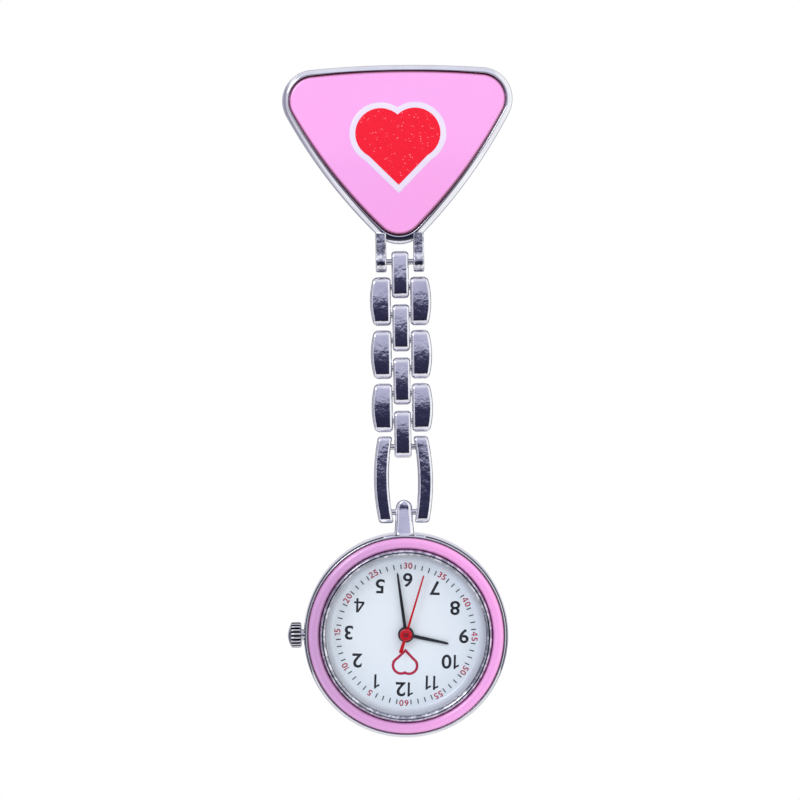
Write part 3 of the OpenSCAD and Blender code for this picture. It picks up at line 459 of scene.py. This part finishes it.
def flange_metal():
    """Pale near the dial and grey further out, with fine turned rings."""
    look = Look("flange", (0.82, 0.86, 0.91), 0.34, metallic=0.2)
    rings = look.node("TexNoise", noise_dimensions="1D")
    look.set(rings, "Scale", 14.0)
    look.link(look.radius(), rings.inputs["W"])
    outer = look.mix(look.range(rings.outputs["Fac"]),
                     (0.66, 0.71, 0.77), (0.42, 0.46, 0.52))
    look.colour(look.mix(look.range(look.radius(), 10.2, 10.85), (0.82, 0.88, 0.96), outer))
    look.vary_roughness(look.noise(5, 3), 0.26, 0.42)
    look.bump(look.noise(12, 2), 0.003)
    return look.material


def board_green():
    """Circuit board with copper tracks that show through the mask."""
    look = Look("board_green", (0.02, 0.22, 0.11), 0.35, coat=0.3)
    tracks = look.node("TexBrick")
    look.set(tracks, "Scale", 0.9)
    look.set(tracks, "Mortar Size", 0.06)
    look.link(look.mm, tracks.inputs["Vector"])
    look.colour(look.mix(tracks.outputs["Fac"], (0.02, 0.20, 0.10), (0.10, 0.42, 0.18)))
    look.vary_roughness(look.noise(3, 3), 0.28, 0.42)
    look.bump(tracks.outputs["Fac"], 0.01)
    return look.material


def crystal_glass():
    """Clear thin glass: see-through, with a mirror that grows towards the rim."""
    look = Look("crystal", (1, 1, 1), 0.02)
    clear = look.node("BsdfTransparent")
    clear.inputs[0].default_value = (1, 1, 1, 1)
    shine = look.node("BsdfGlossy")
    smears = look.range(look.noise(0.4, 3), 0.3, 0.7, 0.01, 0.03)
    look.link(smears, shine.inputs["Roughness"])
    facing = look.node("LayerWeight")
    look.set(facing, "Blend", 0.07)
    both = look.node("MixShader")
    look.link(facing.outputs["Facing"], both.inputs[0])
    look.link(clear.outputs[0], both.inputs[1])
    look.link(shine.outputs[0], both.inputs[2])
    look.link(both.outputs[0], look.out.inputs["Surface"])
    look.tree.nodes.remove(look.shader)
    return look.material


def grooved_chrome():
    """Chrome with painted shade, near black, at the bottom of its flutes."""
    look = Look("crown_chrome", (0.86, 0.86, 0.90), 0.12, metallic=1.0)
    groove = look.node("Attribute", attribute_name="edge")
    groove_shade = look.range(groove.outputs["Fac"], 0.06, 0.40)
    shade = look.mix(look.range(look.noise(1.5, 4)),
                     (0.88, 0.88, 0.92), (0.62, 0.62, 0.68))
    # painted shade deep in the flutes, where little light reaches
    look.colour(look.mix(groove_shade, shade, (0.008, 0.008, 0.012)))
    look.vary_roughness(look.noise(2.5, 4), 0.08, 0.22)
    look.bump(look.noise(3.0, 3), 0.01)
    return look.material


CROWN_CHROME = grooved_chrome()
PINK_PLATE = pink("pink_plate")
PINK_RING = pink("pink_ring", ring=True)
RED_PRINT = glitter_red()
DIAL_PAINT = dial_paint()
FLANGE = flange_metal()
CASEBACK_STEEL = brushed_back()
GLASS = crystal_glass()
BOARD = board_green()


# ---- the brooch ----


def arc(centre, radius, start, stop, n):
    """n + 1 points along an arc between two angles."""
    return [
        centre + radius * Vector((math.cos(a), math.sin(a)))
        for a in (start + (stop - start) * i / n for i in range(n + 1))
    ]


def heading(a, b):
    """The direction from a to b, as an angle."""
    return math.atan2(b.y - a.y, b.x - a.x)


def triangle(out, drop=None):
    """The rounded triangle grown by out, as a closed list of points."""
    if drop is None:
        drop = TIP_DROP * max(out, 0) / RIM_W
    r = CORNER_R + out
    low = Vector((0, -TIP_Z - drop))
    top_c = Vector((0, CORNER.y - math.sqrt((TOP_R - CORNER_R) ** 2 - CORNER.x ** 2)))
    across = CORNER - low
    d = across.length
    h = math.sqrt((SIDE_R - CORNER_R) ** 2 - d * d / 4)
    side_c = (CORNER + low) / 2 + Vector((-across.y, across.x)) * h / d
    tip, down, up = heading(side_c, low), heading(side_c, CORNER), heading(top_c, CORNER)
    half = arc(low, r, -math.pi / 2, tip, 12)
    half += arc(side_c, SIDE_R + out, tip, down, 26)[1:]
    half += arc(CORNER, r, down, up, 22)[1:]
    half += arc(top_c, TOP_R + out, up, math.pi / 2, 16)[1:]
    return half + [Vector((-p.x, p.y)) for p in reversed(half[1:-1])]


TOP_EDGE = max(p.y for p in triangle(RIM_W))
BROOCH_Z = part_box("brooch_frame")[1].z / MM - TOP_EDGE


def dome(p):
    """The height w of the domed plate at a flat point."""
    return DOME_TOP - p.length_squared / (2 * DOME_R)


def ring_at(points, heights, origin):
    """Flat points lifted to their heights, in world space."""
    return [to_world(p.x, p.y, w, origin) for p, w in zip(points, heights)]


def brooch_casting():
    """The rim and the dish behind it, as rings of (distance out, w) from back to front."""
    steps = [
        (0.40, -1.1), (0.62, -1.1), (0.78, -1.06), (0.87, -0.97), (0.90, -0.85),
        (0.90, 0.52), (0.885, 0.64), (0.84, 0.74), (0.76, 0.81), (0.32, 1.01),
        (0.24, 1.035), (0.17, 1.03), (0.11, 0.98), (0.08, 0.86), (0.05, 0.30), (0.05, -0.25),
    ]
    verts, faces, rings = [], [], []
    for out, w in steps:
        outline = triangle(out)
        rings.append(ring_at(outline, [w] * len(outline), BROOCH_Z))
    add_rings(verts, faces, rings)
    finish_mesh("brooch_casting", verts, faces, CHROME, "brooch", ["brooch_frame"])


def lugs():
    """The two ears under the brooch that hold the first pin."""
    inner, outer, r, below = 1.85, 3.32, 1.45, 3.9
    neck, tip = 1.1, 0.25

    def half_y(z):
        rise = r ** 2 - (z - PIN_Z[0]) ** 2
        return max(math.sqrt(max(rise, 0)), neck if z > PIN_Z[0] else tip)

    verts, faces = [], []
    for x0, x1 in ((-outer, -inner), (inner, outer)):
        add_rings(verts, faces, bar_slices(
            PIN_Z[0] - r + 0.04, PIN_Z[0] + below, lambda z: x0, lambda z: x1,
            half_y, edge=0.22, corner=0.25, end_r=0.05, end=(True, False), middle=26))
    finish_mesh("brooch_lugs", verts, faces, CAST_CHROME, "brooch")


def brooch_plate():
    """The pink plate, from rings of (distance out, depth below the dome, darkness of painted
    shade).
    """
    verts, faces, shade_marks, rings = [], [], [], []
    steps = [
        (0.0, -1.3, 1.0), (0.0, -0.62, 1.0), (-0.02, -0.34, 1.0), (-0.08, -0.16, 1.0),
        (-0.18, -0.06, 0.8), (-0.28, -0.02, 0.3), (-0.42, 0.0, 0.0), (-0.5, 0.0, 0.0),
    ]
    for out, lower, mark in steps:
        outline = triangle(out)
        rings.append(ring_at(outline, [dome(p) + lower for p in outline], BROOCH_Z))
        # the outer rings carry painted shade where the plate dips into the rim
        shade_marks += [mark] * len(outline)
    inner, count = triangle(steps[-1][0]), 24
    for i in range(1, count):
        ring = [p * (1 - i / count) for p in inner]
        rings.append(ring_at(ring, [dome(p) for p in ring], BROOCH_Z))
        shade_marks += [0.0] * len(inner)
    add_rings(verts, faces, rings)
    piece = finish_mesh("brooch_plate", verts, faces, PINK_PLATE, "brooch",
                        ["brooch_insert"])
    paint_marks(piece, verts, shade_marks)


def heart(side, grow=0.0, n=180):
    """A heart round its middle: a square on its corner and two rounds, grown by a border.

    Each point is where a ray from the middle leaves the last of the three shapes.
    """
    low_by = 0.075 * side
    half = (side / 2 + grow) * math.sqrt(2)
    place = side * math.sqrt(0.125)
    round_r = 0.52 * side + grow
    out = []
    for a in around(n):
        ray = Vector((math.cos(a + math.pi / 2), math.sin(a + math.pi / 2)))
        reach = 0.0
        for c in (Vector((-place, place - low_by)), Vector((place, place - low_by))):
            along = ray.dot(c)
            reach = max(reach, along + math.sqrt(along ** 2 - c.length_squared + round_r ** 2))
        sides = ((abs(ray.x) + ray.y, half - low_by), (abs(ray.x) - ray.y, half + low_by))
        reach = max(reach, min(room / slope for slope, room in sides if slope > 1e-6))
        out.append(ray * reach)
    return out


def heart_plate(name, grow, lift, look, node):
    """A thin printed heart on the dome, with a rounded edge and rings towards its middle."""
    verts, faces, rings = [], [], []
    outline = heart(HEART_SIDE, grow)
    flat, count = 0.965, 16
    steps = [(1.0, 0.5), (1.0, 0.12), (0.995, 0.05), (0.982, 0.01), (flat, 0.0)]
    steps += [(flat * (1 - i / count), 0.0) for i in range(1, count)]
    for t, drop in steps:
        ring = [p * t for p in outline]
        rings.append(ring_at(ring, [dome(p) + lift - drop for p in ring], BROOCH_Z))
    add_rings(verts, faces, rings)
    return finish_mesh(name, verts, faces, look, "brooch", [node], sharp=60)


# ---- the chain ----


# how far an outer bar reaches past its pins
OUTER_OVER = 1.45


def chain_link(name, body, node, limits, pin, over, thick, edge, corner, sag):
    """A bar between two x limits, from past its upper pin to past the next one."""
    z_low, z_high = PIN_Z[pin + 1] - over, PIN_Z[pin] + over
    middle = (z_low + z_high) / 2
    half = (z_high - z_low) / 2

    def half_y(z):
        return thick / 2 - sag * ((z - middle) / half) ** 2

    verts, faces = [], []
    add_rings(verts, faces, bar_slices(
        z_low, z_high, *limits, half_y, edge, corner, thick * 0.34, middle=18))
    return finish_mesh(name, verts, faces, LINK_CHROME, body, [node], sharp=60)


def bowed(widest, radius, pin):
    """An x limit that bulges to widest, midway between a pin and the next one."""
    middle = (PIN_Z[pin] + PIN_Z[pin + 1]) / 2
    return lambda z: widest - radius + math.sqrt(radius ** 2 - (z - middle) ** 2)


def pair(inner, outer):
    """The x limits of the left and the right bar of a pair."""
    return (
        ("left", (lambda z: -outer(z), lambda z: -inner(z))),
        ("right", (inner, outer)),
    )


def chain():
    """The centre bars, the pairs of outer bars and the long bowed pair, from the top down."""
    for i in range(4):
        low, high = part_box(f"centre_link_{i + 1}")
        half = (high.x - low.x) / MM / 2
        chain_link(f"centre_bar_{i + 1}", f"centre_{i + 1}", f"centre_link_{i + 1}",
                   (lambda z: -half, lambda z: half),
                   pin=2 * i, over=1.5, thick=2.5, edge=0.40, corner=0.5, sag=0.16)
    for i in range(3):
        pin, inner_x, widest_x, bow = 2 * i + 1, 1.325, 4.205, 0.5
        half = (PIN_Z[pin] - PIN_Z[pin + 1]) / 2 + OUTER_OVER
        outer = bowed(widest_x, (half ** 2 + bow ** 2) / (2 * bow), pin)
        for word, limits in pair(lambda z: inner_x, outer):
            chain_link(f"outer_bar_{i + 1}_{word}", f"outer_{i + 1}", f"outer_link_{i + 1}_{word}",
                       limits, pin, OUTER_OVER, thick=2.5, edge=0.46, corner=0.55, sag=0.16)
    end_pin = 7
    for word, limits in pair(bowed(1.99, 31, end_pin), bowed(4.05, 28, end_pin)):
        chain_link(f"end_bar_{word}", "end_link", f"end_link_{word}", limits,
                   end_pin, over=1.5, thick=2.2, edge=0.42, corner=0.4, sag=0.12)


# ---- the watch ----


def watch_case():
    """The turned parts of the watch, as profiles of (radius, w, rounding)."""
    lathe("watch_case", [
        (12.2, -3.6, 0.05), (13.25, -3.6, 0.3), (14.0, -2.75, 0.45), (14.0, 1.45, 0.3),
        (13.86, 2.2, 0.2), (13.62, 2.65, 0.1), (13.45, 2.65, 0.04), (13.45, 1.9, 0.03),
        (10.95, 1.9, 0.03), (10.95, 1.4, 0.03), (11.15, 1.4, 0.03), (11.15, -3.0, 0.03),
        (12.2, -3.0, 0.03),
    ], CHROME, "watch", ["case"])
    lathe("ring_inlay", [(11.8, 1.93, 0.02), (13.42, 1.93, 0.02)] + [
        (RING_MID_R + RING_HALF_W * math.cos(math.radians(a)),
         2.36 + 0.64 * math.sin(math.radians(a)))
        for a in range(0, 181, 12)
    ], PINK_RING, "watch", ["bezel_inlay"], r=0.0)
    lathe("glass_bezel", [
        (11.3, 1.93, 0.02), (11.75, 1.93, 0.02), (11.75, 2.95, 0.08), (11.55, 3.25, 0.12),
        (11.22, 3.25, 0.12), (11.0, 3.08, 0.06), (11.0, 3.0, 0.02), (11.3, 3.0, 0.02),
    ], BEZEL, "watch", ["crystal_bezel"])
    lathe("flange_ring", [
        (10.05, 0.22, 0.01), (11.1, 0.22, 0.01), (11.1, 1.38, 0.01), (10.9, 1.38, 0.02),
        (10.62, 1.08, 0.03), (10.58, 0.96, 0.03), (10.52, 0.96, 0.03), (10.48, 0.86, 0.03),
        (10.25, 0.62, 0.03), (10.22, 0.50, 0.02), (10.05, 0.42, 0.03),
    ], FLANGE, "watch", ["dial_flange"])
    lathe("crystal_dome", [(0.02, 2.75)] + [
        (r, 2.75) for r in (3, 7, 11.0)
    ] + [(11.1, 2.80), (11.1, 2.93)] + [
        (r, 3.4 - 0.45 * (r / 11.1) ** 2) for r in (11.05, 10.6, 9, 7, 5, 3, 1.5, 0.02)
    ], GLASS, "watch", ["crystal"], r=0.03, n=160, closed=False)
    lathe("back_cover", [
        (0.05, -3.9, 0), (11.3, -3.9, 0.2), (11.42, -3.86, 0.05), (11.65, -3.9, 0.1),
        (12.15, -3.72, 0.12), (12.15, -3.03, 0.03), (11.85, -3.03, 0.02), (11.85, -3.4, 0.02),
        (11.35, -3.4, 0.02), (11.35, -3.03, 0.02), (10.3, -3.03, 0.03), (10.3, -3.45, 0.1),
        (0.05, -3.45, 0),
    ], CASEBACK_STEEL, "watch", ["caseback"], closed=False)


def case_bow():
    """The tongue on top of the case, which turns on the chain's last pin."""
    verts, faces = [], []
    head_r, spread, length = 1.15, 0.27, 3.9
    foot, top = WATCH_Z + 13.3, PIN_Z[8] + 0.55

    def half_x(z):
        if z > top:
            return math.sqrt(max(head_r ** 2 - (z - top) ** 2, 0.04))
        return head_r + spread * ((top - z) / length) ** 1.5

    def half_y(z):
        return 1.1 - 0.42 * min((z - foot) / length, 1)

    add_rings(verts, faces, bar_slices(
        foot, top + head_r - 0.005, lambda z: -half_x(z), half_x, half_y,
        edge=0.62, corner=0.02, end_r=0.3, end=(False, True), middle=30))
    finish_mesh("case_bow", verts, faces, LINK_CHROME, "watch", sharp=60)


def disc(verts, faces, r, w0, w1, rim, n=64):
    """A turned disc from w0 to w1, with a rounded rim."""
    profile = [(0.01, w0, 0), (r, w0, rim), (r, w1, rim), (0.01, w1, 0)]
    rings = [
        [to_world(q.x * math.cos(a), q.x * math.sin(a), q.y, WATCH_Z) for a in around(n)]
        for q in filleted(profile, rim, 3, closed=False)
    ]
    add_rings(verts, faces, rings)


def turned(x, z, clockwise):
    """A flat point turned by an angle in degrees, as seen from the front."""
    a = math.radians(-clockwise)
    return x * math.cos(a) - z * math.sin(a), x * math.sin(a) + z * math.cos(a)


def blade(verts, faces, angle, stations, w0, w1, ridge):
    """A hand's blade from (height, half width) stations, with a raised middle."""
    rings = []
    for z, half in stations:
        section = [
            (-half, w0), (half, w0), (half, w1), (half * 0.5, w1 + ridge * 0.7),
            (0, w1 + ridge), (-half * 0.5, w1 + ridge * 0.7), (-half, w1),
        ]
        rings.append([to_world(*turned(x, z, angle), w, WATCH_Z) for x, w in section])
    add_rings(verts, faces, rings)


def hand(name, body, angle, look, stations, w0, w1, ridge, hub):
    """A blade on its hub, whose numbers are its radius, its top and its rim."""
    verts, faces = [], []
    blade(verts, faces, angle, stations, w0, w1, ridge)
    hub_r, hub_top, hub_rim = hub
    disc(verts, faces, hub_r, w0, hub_top, hub_rim)
    finish_mesh(name, verts, faces, look, body, [body + "_hand"])


def hands():
    hand("hour_pointer", "hour", 103, HAND_BLACK,
         [(0.5, 0.24), (3.0, 0.23), (5.6, 0.17), (5.86, 0.12), (5.96, 0.05)],
         w0=0.44, w1=0.56, ridge=0.03, hub=(1.1, 0.60, 0.05))
    hand("minute_pointer", "minute", -7, HAND_BLACK,
         [(0.5, 0.22), (4.3, 0.21), (8.2, 0.14), (8.46, 0.10), (8.56, 0.04)],
         w0=0.78, w1=0.90, ridge=0.03, hub=(1.04, 0.94, 0.05))
    hand("second_pointer", "second", 17.6, HAND_RED,
         [(-2.6, 0.24), (-2.55, 0.27), (-0.5, 0.19), (3.0, 0.14), (8.4, 0.11), (8.5, 0.05)],
         w0=1.12, w1=1.20, ridge=0.02, hub=(0.85, 1.5, 0.12))
    lathe("second_pin_cap", [
        (0.16, 1.50, 0.01), (0.30, 1.50, 0.01), (0.29, 1.54, 0.02), (0.17, 1.54, 0.02),
    ], HAND_BLACK, "second", n=48)


def crown_knob():
    """A fluted knob with a domed end, turned around the stem's axis.

    Each step is (distance from the case side, radius, share of the flutes' depth).
    """
    low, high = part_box("crown")
    axis_y = (low.y + high.y) / 2
    axis_z = (low.z + high.z) / 2
    outer_end, inner_end = low.x / MM, high.x / MM
    flutes, per, flute_depth, drawn_length = 20, 8, 0.20, 1.9
    steps = [
        (0.0, 1.05, 0), (0.0, 1.45, 0), (0.05, 1.62, 0.3), (0.14, 1.72, 0.8), (0.25, 1.775, 1),
        (1.25, 1.775, 1), (1.36, 1.72, 0.8), (1.45, 1.60, 0.3), (1.50, 1.45, 0),
        (1.58, 1.30, 0), (1.68, 1.10, 0), (1.78, 0.80, 0), (1.86, 0.45, 0), (1.89, 0.12, 0),
    ]
    rings, shade_marks = [], []
    for x, r, share in steps:
        place = (inner_end - x * (inner_end - outer_end) / drawn_length) * MM
        ring = []
        for a in around(flutes * per):
            groove = share * (0.5 + 0.5 * math.cos(flutes * a)) ** 1.6
            reach = (r - flute_depth * groove) * MM
            ring.append((place, axis_y + reach * math.cos(a), axis_z + reach * math.sin(a)))
            # the flutes' depth also sets how dark their painted shade is
            shade_marks.append(groove)
        rings.append(ring)
    verts, faces = [], []
    add_rings(verts, faces, rings)
    piece = finish_mesh("crown_knob", verts, faces, CROWN_CHROME, "crown", ["crown"],
                        sharp=50)
    paint_marks(piece, verts, shade_marks)


# ---- the dial's print ----

# the print's plane, its turn on the dial in degrees, and the ink's lift and thickness
PRINT_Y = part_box("dial")[0].y / MM
PRINT_TILT = 2.7
INK_LIFT, INK_THICK = 0.004, 0.006


def digit(char):
    """A digit one unit high with its left edge at 0, as (corners, faces).

    1 and 4 are drawn from listed corners. The others are the built-in font's, made wider and
    bolder.
    """
    if char == "1":
        bar = [(0.22, 0), (0.37, 0), (0.37, 1), (0.27, 1), (0.17, 0.88), (0, 0.81),
               (0, 0.68), (0.12, 0.72), (0.22, 0.79)]
        return [Vector(p) for p in bar], [tuple(range(len(bar)))]
    if char == "4":
        corners = [
            (0.42, 0), (0.57, 0), (0.57, 0.22), (0.72, 0.22), (0.72, 0.36), (0.57, 0.36), (0.57, 1),
            (0.41, 1), (0, 0.38), (0, 0.22), (0.42, 0.22), (0.42, 0.36), (0.42, 0.77), (0.16, 0.36),
        ]
        bars = [(0, 1, 2, 10), (10, 2, 5, 11), (2, 3, 4, 5), (11, 5, 6, 12),
                (9, 10, 11, 13, 8), (8, 13, 12, 6, 7)]
        return [Vector(p) for p in corners], bars
    curve = bpy.data.curves.new("digit", "FONT")
    curve.body = char
    curve.size = 1.0
    curve.resolution_u = 6
    curve.offset = 0.018
    holder = bpy.data.objects.new("digit", curve)
    mesh = bpy.data.meshes.new_from_object(holder)
    points = [Vector((v.co.x * 1.08, v.co.y)) for v in mesh.vertices]
    polygons = [tuple(p.vertices) for p in mesh.polygons]
    bpy.data.meshes.remove(mesh)
    bpy.data.objects.remove(holder)
    bpy.data.curves.remove(curve)
    low = Vector((min(p.x for p in points), min(p.y for p in points)))
    k = 1 / (max(p.y for p in points) - low.y)
    return [(p - low) * k for p in points], polygons


DIGITS = {char: digit(char) for char in "0123456789"}


def glyphs(text, height):
    """A number's corners and faces, centred, in mm."""
    points, polygons, along = [], [], 0.0
    for char in text:
        corners, parts = DIGITS[char]
        first = len(points)
        points += [Vector((p.x + along, p.y)) for p in corners]
        polygons += [tuple(first + i for i in part) for part in parts]
        along = max(p.x for p in points) + 0.15
    middle = Vector((max(p.x for p in points) / 2, 0.5))
    return [(p - middle) * height for p in points], polygons


class Print:
    """Flat ink on the dial, collected into one piece."""

    def __init__(self):
        self.verts, self.faces = [], []

    def add(self, points, polygons, centre, turn):
        first = len(self.verts)
        for p in points:
            x, z = turned(p.x, p.y, turn)
            x, z = turned(x + centre[0], z + centre[1], PRINT_TILT)
            self.verts.append((x * MM, (PRINT_Y - INK_LIFT) * MM, (WATCH_Z + z) * MM))
        self.faces += [tuple(first + i for i in face) for face in polygons]

    def done(self, name, look, slot):
        piece = finish_mesh(name, self.verts, self.faces, look, "watch")
        thick = piece.modifiers.new("ink", "SOLIDIFY")
        thick.thickness = INK_THICK * MM
        thick.offset = 0
        return piece


def on_circle(r, share):
    """The place at a share of a whole turn from 12, which hangs at the bottom."""
    a = 2 * math.pi * share
    return (-r * math.sin(a), -r * math.cos(a))


def dial_print():
    hours, minutes, ticks, mark = Print(), Print(), Print(), Print()
    hour_high, minute_high = 1.95, 0.84
    hour_r = {12: 7.55, 1: 7.6, 2: 7.6, 3: 7.85, 4: 7.55, 5: 7.5, 6: 7.45,
              7: 7.5, 8: 7.65, 9: 7.95, 10: 7.15, 11: 7.55}
    minute_r, tick_r, heart_r = 9.42, 9.3, 3.85
    for hour in range(1, 13):
        hours.add(*glyphs(str(hour), hour_high), on_circle(hour_r[hour], hour / 12), 180)
        minutes.add(*glyphs(str(5 * hour), minute_high), on_circle(minute_r, hour / 12),
                    180 + hour * 30)
    half_w, half_h = 0.075, 0.33
    tick = [Vector((half_w * x, half_h * z)) for x, z in ((-1, -1), (1, -1), (1, 1), (-1, 1))]
    for minute in range(60):
        if minute % 5:
            ticks.add(tick, [(0, 1, 2, 3)], on_circle(tick_r, minute / 60), minute * 6)
    outer, inner = (heart(1.55, grow, 96) for grow in (0.48, 0.12))
    n = len(outer)
    mark.add([*outer, *inner], [(i, (i + 1) % n, n + (i + 1) % n, n + i) for i in range(n)],
             on_circle(heart_r, 0), 180)
    hours.done("hour_numerals", INK_BLACK, "hand_black")
    minutes.done("minute_numerals", INK_RED, "hand_red")
    ticks.done("minute_ticks", TICK_INK, "hand_black")
    mark.done("dial_heart", INK_RED, "hand_red")


brooch_casting()
lugs()
brooch_plate()
heart_plate("heart_border", HEART_BORDER, 0.05, WHITE_PRINT, "emblem_plate")
heart_plate("heart_field", 0, 0.11, RED_PRINT, "emblem_heart")
chain()
watch_case()
case_bow()
hands()
crown_knob()
dial_print()

# ---- looks of the CAD nodes that stay ----

KEPT = (
    (PIN_STEEL, ["pin_base", "hinge_rivet", "catch_ring", "clevis_pin", "pin_stem", "catch_lock",
                 "link_pins_1", "link_pins_2", "link_pins_3", "end_link_pins", "crown_tube",
                 "stem", "clutch_wheel"]),
    (RUBBER, ["crystal_gasket", "caseback_gasket"]),
    (DIAL_PAINT, ["dial"]),
    (HOLDER, ["movement_holder"]),
    (BRASS, ["main_plate", "battery_clamp", "centre_wheel", "third_wheel", "fourth_wheel",
             "fifth_wheel", "minute_wheel", "hour_wheel"]),
    (MOVEMENT_STEEL, ["train_bridge", "quartz", "stator", "bridge_screws", "rotor"]),
    (BOARD, ["circuit_board"]),
    (CHIP, ["ic_chip"]),
    (COPPER, ["coil"]),
    (BATTERY_STEEL, ["battery"]),
)
for look, names in KEPT:
    for name in names:
        slots = frame["nodes"][name].data.materials
        slots.clear()
        slots.append(look)
for name in ("pin_base", "catch_lock"):
    soft_edge = frame["nodes"][name].modifiers.new("soft_edge", "BEVEL")
    soft_edge.width = 0.08 * MM
    soft_edge.segments = 2
    soft_edge.limit_method = "ANGLE"
    soft_edge.angle_limit = math.radians(55)

# ---- floor, light and camera ----

# how far the round floor lies below the watch, and its radius
FLOOR_DROP, FLOOR_R = 28.0, 110.0


def floor():
    """A round floor with a rolled rim, from rings of (radius, depth)."""
    z = CAD_LOW.z - FLOOR_DROP * MM
    n = 64
    verts, faces, rings = [], [], []
    for r, down in ((1, 0), (FLOOR_R - 4, 0), (FLOOR_R - 1, 0.6), (FLOOR_R, 3), (FLOOR_R, 8)):
        rings.append([
            (r * MM * math.cos(a), (MID_Y + r * math.sin(a)) * MM, z - down * MM)
            for a in around(n)
        ])
    add_rings(verts, faces, rings, caps=(False, False))
    faces.append(tuple(reversed(range(n))))
    mesh = bpy.data.meshes.new("floor")
    mesh.from_pydata(verts, [], faces)
    mesh.shade_smooth()
    mesh.materials.append(FLOOR_PAINT)
    piece = bpy.data.objects.new("floor", mesh)
    bpy.context.scene.collection.objects.link(piece)


def studio_world():
    """White all round for the camera, and a soft box studio for reflections."""
    world = bpy.data.worlds.new("studio")
    world.use_nodes = True
    bpy.context.scene.world = world
    sky = Nodes(world.node_tree)

    def ramp(source, stops):
        """Colours from stops of (place, colour)."""
        made = sky.node("ValToRGB")
        sky.link(source, made.inputs[0])
        elements = made.color_ramp.elements
        while len(elements) < len(stops):
            elements.new(0.5)
        for element, (at, colour) in zip(elements, stops):
            element.position = at
            element.color = (*colour, 1)
        return made.outputs[0]

    coords = sky.node("TexCoord")
    parts = sky.node("SeparateXYZ")
    sky.link(coords.outputs["Generated"], parts.inputs[0])
    height = sky.range(parts.outputs["Z"], -1, 1)

    # in front of the object: dark below the middle, lavender above it, pale at the sides
    up_down = ramp(height, [
        (0.0, (0.55, 0.55, 0.60)), (0.14, (0.10, 0.10, 0.13)), (0.24, (0.015, 0.015, 0.03)),
        (0.46, (0.03, 0.03, 0.07)), (0.515, (0.05, 0.05, 0.11)),
        (0.535, (0.50, 0.50, 0.66)), (0.72, (0.60, 0.60, 0.76)), (0.86, (0.85, 0.85, 0.95)),
    ])
    across = sky.range(parts.outputs["X"], -1, 1)
    beside = ramp(across, [
        (0.0, (0.50, 0.49, 0.60)), (0.10, (0.30, 0.29, 0.38)), (0.20, (0.95, 0.95, 1.0)),
        (0.26, (0.98, 0.98, 1.0)), (0.31, (0.40, 0.39, 0.50)),
        (0.5, (0.8, 0.8, 0.85)), (0.7, (1.0, 1.0, 1.0)), (1.0, (1.1, 1.1, 1.1)),
    ])
    side = sky.node("Math", operation="ABSOLUTE")
    sky.link(parts.outputs["X"], side.inputs[0])
    front = sky.mix(sky.range(side.outputs[0], 0.38, 0.48), up_down, beside)

    # behind the object: pale walls, with a dark band where they meet the front
    depth = sky.range(parts.outputs["Y"], -1, 1)
    far_wall = ramp(height, [
        (0.30, (0.28, 0.28, 0.34)), (0.44, (0.42, 0.42, 0.50)), (0.52, (0.80, 0.80, 0.88)),
        (0.60, (0.62, 0.62, 0.72)), (0.80, (1.0, 1.0, 1.0)),
    ])
    dark_band = ramp(depth, [
        (0.62, (0, 0, 0)), (0.67, (1, 1, 1)), (0.86, (1, 1, 1)), (0.92, (0, 0, 0)),
    ])
    side_wall = sky.mix(sky.range(parts.outputs["Y"], 0.55, 0.75), (1.0, 1.0, 1.02), far_wall)
    rear = sky.mix(dark_band, side_wall, (0.09, 0.09, 0.125))

    # reflections show the two, soft light comes from a paler sky, and the camera sees white
    seen = sky.mix(sky.range(parts.outputs["Y"], 0.0, 0.12), front, rear)
    daylight = ramp(across, [(0.0, (0.80, 0.79, 0.93)), (1.0, (1.14, 1.12, 1.06))])
    path = sky.node("LightPath")
    lit = sky.mix(path.outputs["Is Diffuse Ray"], seen, daylight)
    shown = sky.mix(path.outputs["Is Camera Ray"], lit, (1.0, 1.0, 1.0))
    back = sky.node("Background")
    sky.link(shown, back.inputs["Color"])
    out = sky.node("OutputWorld")
    sky.link(back.outputs[0], out.inputs["Surface"])


def softbox(name, place, target, size, watts):
    """A rectangular light aimed at a point."""
    data = bpy.data.lights.new(name, "AREA")
    data.shape = "RECTANGLE"
    data.size, data.size_y = size
    data.energy = watts
    light = bpy.data.objects.new(name, data)
    bpy.context.scene.collection.objects.link(light)
    light.location = place
    light.rotation_euler = (Vector(target) - Vector(place)).to_track_quat("-Z", "Y").to_euler()


# the point in the middle of the view, the camera's distance from it and the view's
# width there, in metres, and the camera's roll in degrees
CENTRE = Vector((-0.0003, (MID_Y - 2.0) * MM, -0.0392))
CAMERA_AWAY, VIEW_WIDTH = 0.41, 0.1093
CAMERA_ROLL = -0.93

floor()
studio_world()
softbox("key_light", (-0.22, -0.34, 0.20), CENTRE, (0.16, 0.16), 0.35)

camera_data = bpy.data.cameras.new("camera")
camera_data.sensor_width = 36.0
camera_data.lens = camera_data.sensor_width * CAMERA_AWAY / VIEW_WIDTH
camera_data.clip_start = 0.01
camera = bpy.data.objects.new("camera", camera_data)
bpy.context.scene.collection.objects.link(camera)
level = Matrix.Rotation(math.radians(90), 4, "X")
roll = Matrix.Rotation(math.radians(CAMERA_ROLL), 4, "Z")
camera.matrix_world = Matrix.Translation(CENTRE - Vector((0, CAMERA_AWAY, 0))) @ level @ roll
bpy.context.scene.camera = camera
bpy.context.scene.view_settings.view_transform = "Standard"
